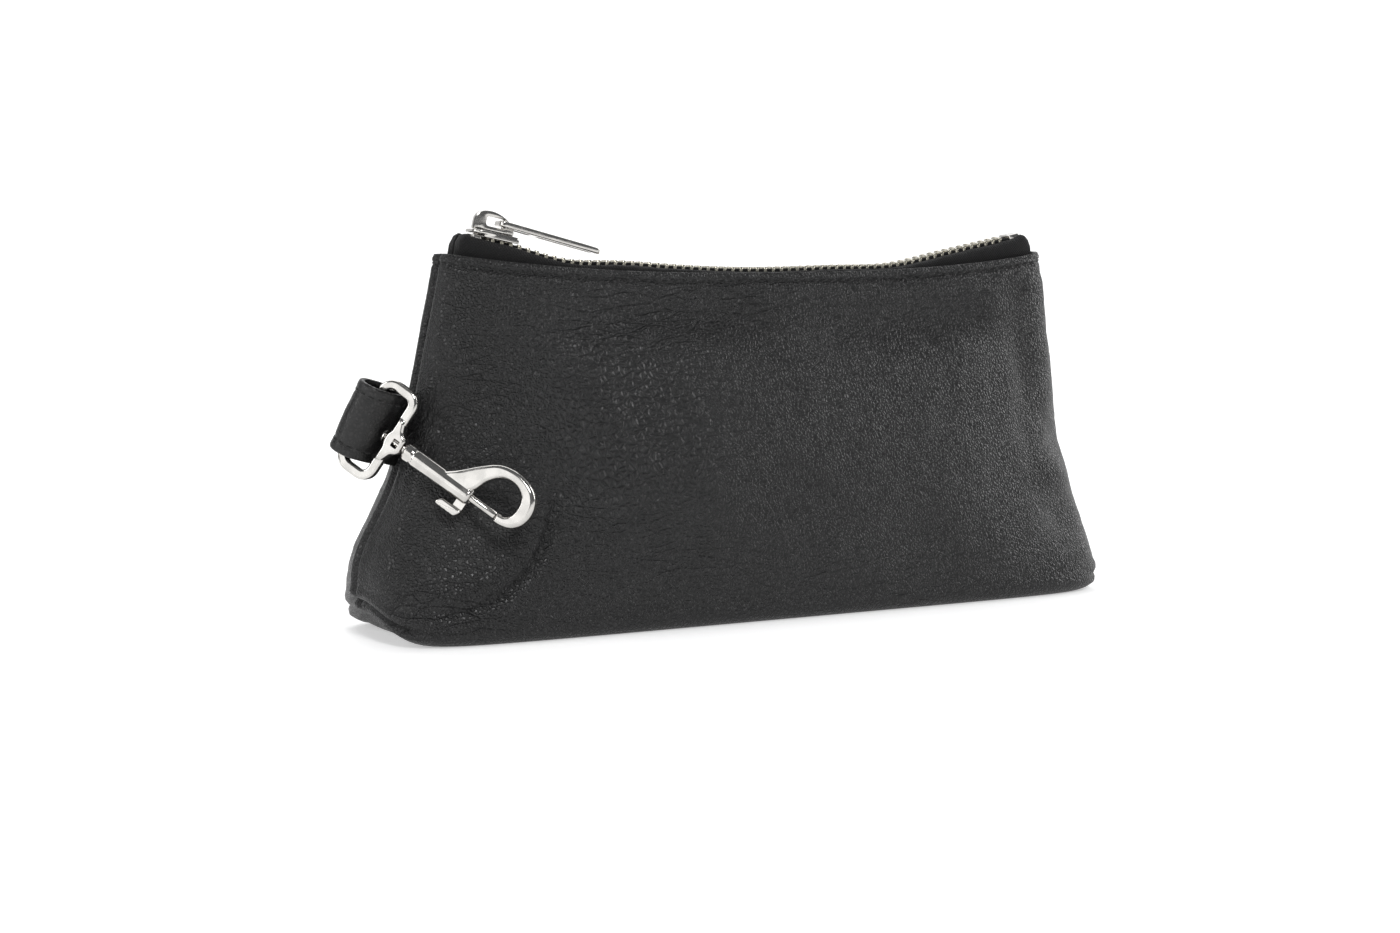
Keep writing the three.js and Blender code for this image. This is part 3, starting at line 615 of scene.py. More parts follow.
# %% [markdown]
# ## Plated metal
#
# The hook and ring are zinc castings with bright nickel plate, and the teeth are a paler, yellower alloy.
# Plate is a mirror, but a handled one: faint hairlines, a few duller smudges, and a casting's slight
# waviness under it. Those come from long thin noise in the gloss and a very shallow bump.


# %% Mix the metals
def mix_metal(name, colour, gloss, haze, wave_depth):
    material, tree, shader = new_finish(name, metallic=1.0, roughness=gloss)
    where = place_in_piece(tree)
    hairs = noise_texture(tree, stretched(tree, where, (0.5, 0.7, 0.3), (0.06, 1.0, 1.0)), 0.12, 3, 0.6)
    smudge = noise_texture(tree, where, 4.5, 3, 0.55)
    rough = maths(tree, "MULTIPLY_ADD", remap(tree, hairs, 0.45, 0.75), haze, gloss)
    rough = maths(tree, "MULTIPLY_ADD", remap(tree, smudge, 0.45, 0.7), haze, rough)
    tree.links.new(rough, shader.inputs["Roughness"])
    dull = tuple(0.86 * c for c in colour)
    toned = blend_colour(tree, remap(tree, smudge, 0.35, 0.65), colour, dull)
    tree.links.new(toned, shader.inputs["Base Color"])
    height = maths(tree, "MULTIPLY_ADD", hairs, 0.15, noise_texture(tree, where, 1.3, 2))
    raise_surface(tree, shader, height, wave_depth)
    return material


bright_nickel = mix_metal("bright_nickel", (0.60, 0.585, 0.56), 0.12, 0.1, 0.012)
tooth_alloy = mix_metal("tooth_alloy", (0.50, 0.475, 0.40), 0.2, 0.12, 0.02)
spring_wire = mix_metal("spring_wire", (0.45, 0.45, 0.47), 0.25, 0.12, 0.01)
print("metals:", bright_nickel.name, tooth_alloy.name, spring_wire.name)

# %% [markdown]
# ## The bag's outline
#
# Seen from above, each panel runs from the left side seam round the front or back to the right one. The
# outline is a rounded oblong: boxy at the base and the mouth, rounder between them, and it narrows on the
# way up. One formula gives any point of the outside, so the panels, the lining, the tape and the strap's
# root all agree. A cloth simulation could inflate the shape, but this leather holds its own form.

# %% Shape the outside
BASE_LENGTH, BASE_DEPTH = 226, 58
MOUTH_LENGTH, MOUTH_DEPTH = 195.6, 16
HEIGHT = 101.5
HEM_SAG, HEM_POWER = 5.6, 2.5
MOUTH_SHIFT = 4.9
EDGE_RADIUS = 4
CORNER_LIFT = 6.5
CORNER_SEAM_INSET = 4.5
LEATHER = 1.2
SEAM_GAP = 0.3
BOTTOM_SEAM_Y = 2
LEFT_SWELL, LEFT_SWELL_HEIGHT, LEFT_SWELL_SPREAD = 6.5, 20, 16
RIGHT_DRAW, RIGHT_DRAW_HEIGHT = 3.2, 42
WALL_BEND = 1.25
ROUND_POWER, BOXY_POWER = 3.4, 6.8
BEND = 12


def mix(a, b, t):
    return a + (b - a) * t


def ease_in(value, low, high):
    u = np.clip((np.asarray(value, float) - low) / (high - low), 0, 1)
    return u * u * (3 - 2 * u)


def hill(value, middle, spread):
    return np.exp(-(((value - middle) / spread) ** 2))


def hem_height(cx):
    return HEIGHT - HEM_SAG * (1 - np.abs(cx) ** HEM_POWER)


def outline(dx, dy, t):
    power = ROUND_POWER + (BOXY_POWER - ROUND_POWER) * (2 * t - 1) ** 2
    size = (np.abs(dx) ** power + np.abs(dy) ** power) ** (1 / power)
    return dx / size, dy / size


def wall(dx, dy, t, side, inset=0.0, drop=0.0):
    """Points of the outer face, in millimetres: t runs from the base to the hem."""
    cx, cy = outline(dx, dy, t)
    half_length = mix(BASE_LENGTH, MOUTH_LENGTH, t) / 2 - inset
    half_depth = mix(BASE_DEPTH, MOUTH_DEPTH, t**WALL_BEND) / 2 - inset
    at_end = np.abs(cx) ** BEND
    low = CORNER_LIFT * at_end * np.cos(math.pi / 2 * cy) ** 2
    z = mix(low + EDGE_RADIUS, hem_height(cx), t) - drop
    bulge = LEFT_SWELL * hill(z, LEFT_SWELL_HEIGHT, LEFT_SWELL_SPREAD) * (1 - cy * cy)
    lean = RIGHT_DRAW * ease_in(z, EDGE_RADIUS, RIGHT_DRAW_HEIGHT)
    swell = np.where(cx < 0, bulge, -lean)
    x = MOUTH_SHIFT * t + half_length * cx + np.sign(cx) * swell * at_end
    y = side * np.maximum(half_depth * cy, SEAM_GAP / 2)
    return np.stack(np.broadcast_arrays(x, y, z), -1)


END_COLUMNS, FRONT_COLUMNS = 20, 150


def panel_directions():
    end = np.linspace(0, 1, END_COLUMNS, endpoint=False) ** 1.25
    along = np.linspace(-1, 1, FRONT_COLUMNS + 1)
    dx = np.concatenate([-np.ones(END_COLUMNS), along, np.ones(END_COLUMNS)])
    dy = np.concatenate([end, np.ones(FRONT_COLUMNS + 1), end[::-1]])
    return dx[:, None], dy[:, None]


BOTTOM_ROWS, ROUND_ROWS = 9, 6
FOOT_T, HEM_T = 0.06, 0.9
foot_rows, wall_rows = np.linspace(0, FOOT_T, 8), np.linspace(FOOT_T, HEM_T, 58)[1:]
WALL_T = np.concatenate([foot_rows, wall_rows, np.linspace(HEM_T, 1, 16)[1:]])


def outer_grid(side):
    """Across the bottom from its seam, round the base's edge and up the wall to the hem."""
    dx, dy = panel_directions()
    edge = wall(dx, dy, np.zeros((1, 1)), side, EDGE_RADIUS, EDGE_RADIUS)
    s = np.linspace(0, 1, BOTTOM_ROWS, endpoint=False)[None, :]
    seam_limit = BASE_LENGTH / 2 - EDGE_RADIUS
    seam_x = np.clip(edge[:, :, 0], -seam_limit, seam_limit) * (1 - CORNER_SEAM_INSET / (BASE_LENGTH / 2))
    seam_y = BOTTOM_SEAM_Y + side * SEAM_GAP / 2
    across, along = mix(seam_x, edge[:, :, 0], s), mix(seam_y, edge[:, :, 1], s)
    bottom = np.stack([across, along, edge[:, :, 2] * s * s], -1)
    a = (math.pi / 2 * np.arange(ROUND_ROWS) / ROUND_ROWS)[None, :]
    turn = wall(dx, dy, np.zeros_like(a), side, EDGE_RADIUS * (1 - np.sin(a)), EDGE_RADIUS * np.cos(a))
    return np.concatenate([bottom, turn, wall(dx, dy, WALL_T[None, :], side)], 1)


def outward(grid, side):
    """The grid's own normals, facing out of the bag."""
    across = np.gradient(grid, axis=0)
    across[[0, -1], :, 0] = 0
    along = np.gradient(grid, axis=1)
    normal = np.cross(across, along) * -side
    length = np.linalg.norm(normal, axis=2, keepdims=True)
    normal /= np.maximum(length, 1e-9)
    normal[:, :BOTTOM_ROWS] = (0, 0, -1)
    return normal


rough_front = outer_grid(-1)
print("outside spans", rough_front.reshape(-1, 3).min(0).round(1), rough_front.reshape(-1, 3).max(0).round(1))
print("front faces forward:", outward(rough_front, -1)[len(rough_front) // 2, 60].round(2))

# %% [markdown]
# ## How the leather sags and creases
#
# A bag that stands empty isn't smooth. Its front bellies a little, sinks in a soft band below the zip, and
# buckles along the right end where the side leans in. Near the left corner the leather folds round the
# boxed bottom and leaves a puckered arc. These are long shallow shapes that catch the light, so they are
# pushed into the mesh itself, as a sum of soft hills and dents. Only the grain is left to the finish.

# %% Push the leather in and out
PUCKER_CENTRE = (-103, 42)
PUCKER_RADIUS = 33


def soft_noise(grid, size, seed):
    """Smooth noise from -1 to 1 over a grid, with lumps of this size in millimetres."""
    flat = grid.reshape(-1, 3) / size
    values = [noise.noise(Vector((p[0] + seed, p[1], p[2]))) for p in flat]
    return np.array(values).reshape(grid.shape[:2])


def front_relief(x, z):
    push = 3.0 * hill(x, -8, 72) * hill(z, 44, 30)
    band = 85.5 - 4.5 * ease_in(x, -66, 66)
    push -= 2.0 * hill(z, band, 7) * ease_in(x, -84, -52) * (1 - ease_in(x, 62, 86))
    push += 1.0 * hill(x, 9, 9) * hill(z, 82, 5) + 0.9 * hill(x, 67, 9) * hill(z, 76, 6)
    push -= 1.2 * hill(x, 99, 6) * hill(z, 46, 8) + 1.3 * hill(x, 96, 6) * hill(z, 24, 7)
    push += 1.3 * hill(x, 98, 6) * hill(z, 36, 6) + 0.9 * hill(x, 99, 5) * hill(z, 66, 12)
    push -= 0.8 * hill(x, 88, 5) * hill(z, 60, 30)
    return push


def pucker(x, z):
    """The arc of small folds round the left corner."""
    across, up = x - PUCKER_CENTRE[0], z - PUCKER_CENTRE[1]
    reach = np.hypot(across, up)
    turn = np.degrees(np.arctan2(up, across))
    shown = ease_in(turn, -112, -88) * (1 - ease_in(turn, -24, 2))
    fold = -1.4 * hill(reach, PUCKER_RADIUS, 1.2) + 0.6 * hill(reach, PUCKER_RADIUS - 4.5, 3.2)
    ripples = 0.4 * np.sin(np.radians(turn) * 44) * hill(reach, PUCKER_RADIUS - 2, 4.5)
    return shown * (fold + ripples)


def back_relief(x, z):
    push = 2.6 * hill(x, 14, 68) * hill(z, 42, 30)
    push -= 2.0 * hill(z, 84, 7) * hill(x, -8, 60)
    push += 1.2 * hill(x, -92, 8) * hill(z, 38, 9) - 1.3 * hill(x, -95, 7) * hill(z, 24, 7)
    push -= 1.2 * hill(x, 90, 7) * hill(z, 50, 12)
    return push


def sagging(grid, normal, side):
    """How far the leather stands in or out, for every point of a panel's outer grid."""
    x, z = grid[:, :, 0], grid[:, :, 2]
    push = front_relief(x, z) + pucker(x, z) if side < 0 else back_relief(x, z)
    push *= ease_in(np.abs(normal[:, :, 1]), 0.1, 0.8)
    seed = 40 if side < 0 else 90
    push += 0.75 * soft_noise(grid, 26, seed) + 0.22 * soft_noise(grid, 8, seed + 7)
    near_end = ease_in(np.abs(x), 84, 104)
    slanting = grid * np.array([0.35, 1.0, 1.3])
    push += 0.16 * near_end * soft_noise(slanting, 2.6, seed + 3)
    from_seam = np.abs(grid[:, :, 1])
    shown = ease_in(z, 3, 16) * (1 - ease_in(z, 92, 97)) * ease_in(from_seam, 1, 7)
    shown[:, : BOTTOM_ROWS + 2] = 0
    return push * shown


# %% Pinch the seams and fold the hem
STITCH_DROP = 2.1
SEAM_PINCH = 1.7
SLIT_DEPTH = 1.9
wall_height = HEIGHT - EDGE_RADIUS
hem_distance = (1 - WALL_T) * wall_height


def hem_fold():
    """The turned-over hem, its row of needle holes, and the step where the fold ends."""
    fold = 0.5 * hill(hem_distance, 0.9, 1.0) - 0.42 * hill(hem_distance, STITCH_DROP, 0.45)
    fold += 0.22 * hill(hem_distance, 3.7, 1.3) + 0.12 * hill(hem_distance, 7, 2)
    return np.concatenate([np.zeros(BOTTOM_ROWS + ROUND_ROWS), fold])


def corner_slit(directions):
    """The boxed corner's seam, which gapes along the foot of each end."""
    dx, dy = directions
    at_end = np.where(np.abs(dx[:, 0]) == 1, 1 - ease_in(dy[:, 0], 0.72, 0.98), 0)
    turn = EDGE_RADIUS * math.pi / 2 / ROUND_ROWS
    rows = np.arange(BOTTOM_ROWS + ROUND_ROWS + len(WALL_T)) - (BOTTOM_ROWS + ROUND_ROWS)
    distance = np.where(rows < 0, rows * turn, WALL_T[np.maximum(rows, 0)] * wall_height)
    shape = -SLIT_DEPTH * hill(distance, 0, 0.75)
    shape += 0.5 * hill(distance, 2.4, 1.3) + 0.35 * hill(distance, -2, 0.9)
    return at_end[:, None] * shape[None, :]


def shaped_grid(side):
    grid = outer_grid(side)
    normal = outward(grid, side)
    push = sagging(grid, normal, side) + hem_fold()[None, :] + corner_slit(panel_directions())
    grid = grid + normal * push[:, :, None]
    from_seam = np.abs(grid[:, :, 1])
    above_base = np.arange(grid.shape[1]) >= BOTTOM_ROWS
    pinch = (SEAM_PINCH * hill(from_seam, 0, 1.1) - 0.45 * hill(from_seam, 2.6, 1.3)) * above_base
    pinch = np.where(np.abs(grid[:, :, 0] - MOUTH_SHIFT / 2) > 80, pinch, 0)
    grid[:, :, 0] -= np.sign(grid[:, :, 0]) * pinch
    return grid


# %% [markdown]
# ## The leather panels
#
# Each panel is one skin with thickness: it comes from the bottom seam, turns up round the base, climbs to
# the hem, rolls over, and goes back down inside. So its section is one closed loop, carried round the bag.
# A Solidify modifier would also give thickness, but then the hem would be a cut edge and not a fold.

# %% Make the leather panels
ROLL_STEPS = 6
ROLL_RADIUS = 0.75


def panel_skin(side):
    outer = shaped_grid(side)
    normal = outward(outer, side)
    depth = LEATHER + (2 * ROLL_RADIUS - LEATHER) * np.concatenate(
        [np.zeros(BOTTOM_ROWS + ROUND_ROWS), ease_in(WALL_T, 0.93, 0.98)]
    )
    inner = outer - normal * depth[None, :, None]
    top, top_normal = outer[:, -1], normal[:, -1]
    turns = [math.pi * k / (ROLL_STEPS + 1) for k in range(1, ROLL_STEPS + 1)]
    up = np.array([0, 0, 1.0])
    outwards, upwards = top_normal * ROLL_RADIUS, up * ROLL_RADIUS
    roll = [top - outwards * (1 - math.cos(a)) + upwards * math.sin(a) for a in turns]
    loop = np.concatenate([outer, np.stack(roll, 1), inner[:, ::-1]], 1)
    points, faces = closed_loft(loop)
    rows, count = loop.shape[1], outer.shape[1]
    for column in (0, loop.shape[0] - 1):
        start = column * rows
        for j in range(count - 1):
            faces.append((start + j, start + j + 1, start + rows - 2 - j, start + rows - 1 - j))
        faces.append(tuple(start + j for j in range(count - 1, count + ROLL_STEPS + 1)))
    return points, faces


def facing_out(piece):
    solid = bmesh.new()
    solid.from_mesh(piece.data)
    bmesh.ops.recalc_face_normals(solid, faces=solid.faces)
    solid.to_mesh(piece.data)
    solid.free()
    return piece


SIDES = (("front", -1), ("back", 1))
for word, side in SIDES:
    piece = make_piece(f"{word}_leather", *panel_skin(side), panel_leather, "bag", "leather")
    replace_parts(facing_out(piece), f"{word}_panel")

# %% [markdown]
# ## The hem's topstitching
#
# A row of black stitches holds the folded hem to the zip's tape, two millimetres below the fold. Each
# stitch is a short fat grain of thread that dips into its needle holes. They are laid along the ditch that
# the panel already has, one by one, so that they follow its sag.

# %% Sew the hem
STITCH_PITCH = 3.0
STITCH_LENGTH = 2.3
THREAD_RADIUS = 0.26


def stitch(centre, along, out, length, radius):
    """One stitch: a grain of thread that is high in its middle and dives at both ends."""
    side = along.cross(out).normalized()
    points, faces = [], []
    rings, around = 7, 6
    for i in range(rings):
        u = 2 * i / (rings - 1) - 1
        fat = radius * math.sqrt(max(0.08, 1 - u**4))
        middle = centre + along * (u * length / 2) + out * (radius * (0.75 - 1.3 * u * u))
        for k in range(around):
            a = 2 * math.pi * k / around
            points.append(middle + side * (fat * math.cos(a)) + out * (fat * math.sin(a)))
    for i in range(rings - 1):
        for k in range(around):
            j = (k + 1) % around
            faces.append((i * around + k, i * around + j, (i + 1) * around + j, (i + 1) * around + k))
    faces.append(tuple(range(around))[::-1])
    faces.append(tuple(range((rings - 1) * around, rings * around)))
    return points, faces


def stitches_along(line, outs, pitch, length, radius, wander=0.0):
    """Stitches at an even pitch along a line of points, each with its outward direction."""
    steps = [0.0]
    for a, b in zip(line, line[1:]):
        steps.append(steps[-1] + (b - a).length)
    made = []
    for n in range(int(steps[-1] / pitch)):
        place = (n + 0.5) * pitch
        i = int(np.searchsorted(steps, place)) - 1
        u = (place - steps[i]) / (steps[i + 1] - steps[i])
        out = outs[i].lerp(outs[i + 1], u).normalized()
        along = (line[i + 1] - line[i]).normalized()
        lean = wander * math.sin(n * 2.4)
        along = (along + along.cross(out) * lean).normalized()
        made.append(stitch(line[i].lerp(line[i + 1], u), along, out, length, radius))
    return joined(made)


def hem_stitching(side):
    grid = shaped_grid(side)
    normal = outward(grid, side)
    row = BOTTOM_ROWS + ROUND_ROWS + int(np.argmin(np.abs(hem_distance - STITCH_DROP)))
    kept = slice(6, -6)
    line = [Vector(p) for p in grid[kept, row]]
    outs = [Vector(n) for n in normal[kept, row]]
    return stitches_along(line, outs, STITCH_PITCH, STITCH_LENGTH, THREAD_RADIUS, 0.06)


for word, side in SIDES:
    facing_out(make_piece(f"{word}_hem_stitching", *hem_stitching(side), black_thread, "bag", "tape"))

# %% [markdown]
# ## The lining
#
# Inside each panel hangs a thin cloth lining of the same cut, sewn in below the tape. It shows only when the
# zip is open. It follows the panel's plain shape, a little way in, with a soft ripple of its own.

# %% Hang the lining
LINING_START, LINING_THICKNESS = 1.9, 0.4
LINING_TOP = BOTTOM_ROWS + ROUND_ROWS + int(np.searchsorted(WALL_T, HEM_T)) + 1


def lining_sheet(side):
    grid = outer_grid(side)[:, :LINING_TOP]
    normal = outward(grid, side)
    ripple = 0.25 * (1 + soft_noise(grid, 14, 5))[:, :, None]
    ripple[:, :BOTTOM_ROWS] = 0
    ripple -= np.minimum(sagging(grid, normal, side), 0)[:, :, None]
    face = grid - normal * (LINING_START + ripple)
    behind = grid - normal * (LINING_START + LINING_THICKNESS + ripple)
    return sheet(face[::2], behind[::2])


for word, side in SIDES:
    piece = make_piece(f"{word}_lining_cloth", *lining_sheet(side), lining_cloth, "bag", "lining")
    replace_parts(facing_out(piece), f"{word}_lining")

# %% [markdown]
# ## The zip's line
#
# The closed zip sags between the two ends of the mouth. It follows the arc that the slider travels on, and
# hangs a little lower than that arc on each side of the middle, where the teeth are free to droop.

# %% Follow the zip
SLIDER_INSET, ARC_RISE, CHAIN_ABOVE_HEM = 14.1, 8.55, 0.9
SLIDER_S = SLIDER_INSET - MOUTH_LENGTH / 2
ARC_RADIUS = (SLIDER_S**2 + ARC_RISE**2) / (2 * ARC_RISE)
ARC_LOW_X, ARC_LOW_Z = MOUTH_SHIFT, HEIGHT - HEM_SAG + CHAIN_ABOVE_HEM
CHAIN_START, CHAIN_END = -85.0, 85.6
LEFT_DROOP, LEFT_DROOP_X, LEFT_DROOP_SPREAD = 1.9, -57, 13
RIGHT_DROOP, RIGHT_DROOP_X, RIGHT_DROOP_SPREAD = 1.4, 49, 15


def droop(x):
    left = LEFT_DROOP * hill(x, LEFT_DROOP_X, LEFT_DROOP_SPREAD)
    return left + RIGHT_DROOP * hill(x, RIGHT_DROOP_X, RIGHT_DROOP_SPREAD)


def on_chain(s, y, up):
    """A point of the zip: s along it, y across it, up from its middle."""
    a = np.asarray(s, float) / ARC_RADIUS
    reach = ARC_RADIUS - up
    x = ARC_LOW_X + reach * np.sin(a)
    z = ARC_LOW_Z + ARC_RADIUS - reach * np.cos(a) - droop(x)
    return np.stack(np.broadcast_arrays(x, y, z), -1)


def chain_height(x):
    return ARC_LOW_Z + ARC_RADIUS - np.sqrt(ARC_RADIUS**2 - (x - ARC_LOW_X) ** 2) - droop(x)


zip_sag = float(chain_height(ARC_LOW_X + SLIDER_S) - chain_height(ARC_LOW_X))
print("zip is", round(CHAIN_END - CHAIN_START, 1), "mm long, and sags", round(zip_sag, 1), "mm")

# %% [markdown]
# ## The zip's tapes
#
# Each tape is sewn inside a hem, comes up over it and reaches the teeth, where its edge is a thick cord. At
# both ends the zip stands above the leather, so the tapes close like the gable of a tent and turn down into
# the side seam. One grid from end to end makes it: its columns know how close they are to that gable.

# %% Weave the tapes
TAPE_THICKNESS = 0.5
TAPE_LEFT, TAPE_RIGHT = -0.965, 0.972
TAPE_HIDDEN = 5
GABLE = 4.0
CORD_Y, CORD_RADIUS = 2.3, 0.62
TAPE_COLUMNS = 190


def tape_middle(side):
    cx = np.linspace(TAPE_LEFT, TAPE_RIGHT, TAPE_COLUMNS)
    half_y = (1 - np.abs(cx) ** BOXY_POWER) ** (1 / BOXY_POWER) * MOUTH_DEPTH / 2
    draw = np.where(cx > 0, RIGHT_DRAW, 0) * np.abs(cx) ** BEND
    x = MOUTH_SHIFT + MOUTH_LENGTH / 2 * cx - draw
    hem = hem_height(cx)
    from_end = np.minimum(x - x[0], x[-1] - x)
    rise = np.sqrt(1 - (1 - np.clip(from_end / GABLE, 0, 1)) ** 2)
    closing = ease_in(from_end, 0.5, 6)
    top = mix(hem - 2.5, chain_height(x) - 0.5 + 1.6 * (1 - closing), rise)
    wall_y = half_y - 2.3
    shoulder = np.minimum(5.0, wall_y - 0.2)
    edge = mix(0.35, CORD_Y, closing)
    corners = [(wall_y, hem - TAPE_HIDDEN), (wall_y, hem - 3), (wall_y, hem - 0.4)]
    corners.append((mix(wall_y, shoulder, 0.6), mix(hem, top, 0.75)))
    corners += [(mix(shoulder, edge, 0.35), top), (edge, top)]
    columns = []
    for i in range(TAPE_COLUMNS):
        across = smooth_line([(float(y[i]), float(z[i])) for y, z in corners], 16)
        columns.append([(x[i], side * p[0], p[1]) for p in across])
    grid = np.array(columns)
    grid[:, :, 2] += 0.3 * soft_noise(grid, 3.2, 21)
    return grid


def tape_with_cord(side):
    grid = tape_middle(side)
    normal = np.cross(np.gradient(grid, axis=0), np.gradient(grid, axis=1))
    normal /= np.linalg.norm(normal, axis=2, keepdims=True)
    cloth = sheet(grid + normal * TAPE_THICKNESS / 2, grid - normal * TAPE_THICKNESS / 2)
    s = np.linspace(CHAIN_START, CHAIN_END, 160)
    cord = swept(on_chain(s, side * CORD_Y, 0.0), circle(CORD_RADIUS, 10), (0, 0, 1))
    return joined([([Vector(p) for p in cloth[0]], cloth[1]), cord])


for word, side in SIDES:
    piece = make_piece(f"{word}_zip_tape", *tape_with_cord(side), zip_twill, "bag", "tape")
    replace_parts(facing_out(piece), f"{word}_tape")

# %% [markdown]
# ## The teeth
#
# A metal tooth is a small forging with two legs that are crimped round the tape's cord, a waist, and a head
# that catches behind the heads of the other row. Each tooth here is a short bar of rounded sections that
# swell and shrink in that order, set across the zip at its own place on the curve. The rows are half a
# pitch apart, so they mesh.

# %% Set the teeth
TOOTH_PITCH = 2.65
TOOTH_SECTIONS = (  # across the zip, half length along it, half height
    (-3.05, 0.3, 0.7), (-2.9, 0.52, 1.05), (-2.2, 0.56, 1.18), (-1.55, 0.54, 1.15), (-1.2, 0.42, 1.05),
    (-0.4, 0.4, 1.0), (0.1, 0.5, 1.0), (0.65, 0.52, 0.95), (0.95, 0.34, 0.7),
)


def rounded_oblong(half_a, half_b, count=12):
    """Points round a soft-cornered oblong."""
    points = []
    for k in range(count):
        a = 2 * math.pi * (k + 0.5) / count
        c, s = math.cos(a), math.sin(a)
        points.append((half_a * math.copysign(abs(c) ** 0.5, c), half_b * math.copysign(abs(s) ** 0.5, s)))
    return points


def tooth(s, side):
    rings = [
        [on_chain(s + a, -side * across, up) for a, up in rounded_oblong(half_s, half_up)]
        for across, half_s, half_up in TOOTH_SECTIONS
    ]
    points, faces = closed_loft(np.array(rings))
    count = len(rings[0])
    last = (len(rings) - 1) * count
    faces = faces + [tuple(range(count)), tuple(range(last, last + count))]
    return [Vector(p) for p in points], faces


for word, side in SIDES:
    first = CHAIN_START + 0.7 + (0 if side < 0 else TOOTH_PITCH / 2)
    row = [tooth(s, side) for s in np.arange(first, CHAIN_END - 0.6, TOOTH_PITCH)]
    piece = make_piece(f"{word}_zip_teeth", *joined(row), tooth_alloy, "bag", "teeth", sharp_angle=50)
    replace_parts(facing_out(piece), f"{word}_teeth")
    print(word, "row has", len(row), "teeth")

# %% [markdown]
# ## The zip's stops
#
# Two small crimped clips keep the slider from running off one end, one on each tape. At the other end a
# single staple joins the tapes. They are folded from strip, so they are plates with well-rounded edges.

# %% Crimp the stops
STOP_S, STOP_LENGTH = -90.15, 2.5
STAPLE_S, STAPLE_LENGTH = 86.2, 3.6


def clip_on_chain(s0, s1, y0, y1, half_up, ease):
    middle_y = (y0 + y1) / 2
    outline = rounded_corners([(s0, -half_up), (s1, -half_up), (s1, half_up), (s0, half_up)], 0.5)
    points, faces = plate([(p[0], p[1]) for p in outline], y1 - y0, ease)
    return [Vector(on_chain(p[0], p[1] + middle_y, p[2])) for p in points], faces


for word, side in SIDES:
    reach = sorted((side * 1.5, side * 2.9))
    clip = clip_on_chain(STOP_S, STOP_S + STOP_LENGTH, *reach, 0.95, 0.4)
    piece = make_piece(f"{word}_end_clip", *clip, bright_nickel, "bag", "nickel")
    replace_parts(facing_out(piece), f"{word}_top_stop")
staple = clip_on_chain(STAPLE_S, STAPLE_S + STAPLE_LENGTH, -2.9, 2.9, 1.15, 0.45)
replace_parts(facing_out(make_piece("zip_staple", *staple, bright_nickel, "bag", "nickel")), "bottom_stop")

# %% [markdown]
# ## The slider
#
# The slider is two plates held apart by a wedge, with flanges that keep the teeth in line. On top stands a
# bridge with an eye, and the pull swings in it. All of it is drawn in the slider's own frame, which has its
# X axis along the zip, and then carried to its place at the left end of the arc.

# %% Find the slider's frame
def frame_matrix(place, x_axis, z_axis):
    """A frame in millimetres with these X and Z directions, made square."""
    x = Vector(x_axis).normalized()
    y = Vector(z_axis).cross(x).normalized()
    z = x.cross(y)
    turn = Matrix((x, y, z)).transposed().to_4x4()
    return Matrix.Translation(Vector(place)) @ turn


slider_turn = SLIDER_S / ARC_RADIUS
turn_cos, turn_sin = math.cos(slider_turn), math.sin(slider_turn)
slider_place = (ARC_LOW_X + ARC_RADIUS * turn_sin, 0, ARC_LOW_Z + ARC_RADIUS * (1 - turn_cos))
slider_frame = frame_matrix(slider_place, (turn_cos, 0, turn_sin), (-turn_sin, 0, turn_cos))
print("slider stands at", [round(v, 1) for v in slider_place])

# %% Press the slider's body
SLIDER_HALF = 6.75
CHANNEL_HALF = 1.25
PLATE = 1.0
FLANGE_Y, FLANGE = 4.2, 1.0
FLANGE_START, FLANGE_LIP = 3, 0.55
RUNNING_GAP = 0.3


def laid_flat(part, z_middle):
    """A plate drawn in X and Z, laid down in X and Y with its middle at this height."""
    points, faces = part
    return [Vector((p[0], p[2], p[1] + z_middle)) for p in points], faces


def slider_plate_outline():
    half, nose = SLIDER_HALF, FLANGE_Y + 0.5
    lower = [(-half, -nose + 1.6), (-half + 1.8, -nose), (-half + 6, -FLANGE_Y), (half, -FLANGE_Y + 0.3)]
    corners = lower + [(x, -y) for x, y in lower[::-1]]
    return [tuple(p) for p in rounded_corners(corners, 1.2)]


def slider_body():
    half_plate = CHANNEL_HALF + PLATE / 2
    parts = [laid_flat(plate(slider_plate_outline(), PLATE, 0.32), z) for z in (half_plate, -half_plate)]
    for side in (-1, 1):
        x0, x1 = -SLIDER_HALF + FLANGE_START, SLIDER_HALF - 0.3
        for z0, z1 in ((FLANGE_LIP, CHANNEL_HALF + 0.3), (-CHANNEL_HALF - 0.3, -FLANGE_LIP)):
            parts.append(block(x0, x1, side * FLANGE_Y - side * FLANGE, side * FLANGE_Y, z0, z1))
    wedge = [(-5.15, 0), (-4.2, -1.1), (-3.3, -1.1), (-2.15, 0), (-3.3, 1.1), (-4.2, 1.1)]
    parts.append(laid_flat(plate(wedge, 2 * CHANNEL_HALF + 0.4, 0.0), 0))
    return placed(cast(parts, grain=0.16, smoothing=3), slider_frame)


piece = make_piece("slider_pressing", *slider_body(), bright_nickel, "slider", "nickel", sharp_angle=50)
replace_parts(facing_out(piece), "slider_body")

# %% [markdown]
# ## The bridge and the pull
#
# The bridge is an arch of thick metal with a long eye, and the pull is a stamped tongue whose window hangs
# on it. A Boolean modifier could cut the eye out of a solid arch, but it leaves sharp edges. So the bridge
# is a ring of small rounded sections that runs round its eye, and every edge comes out eased. The pull is
# thin and flat, so there the window and the sunk panels are cut with Booleans.

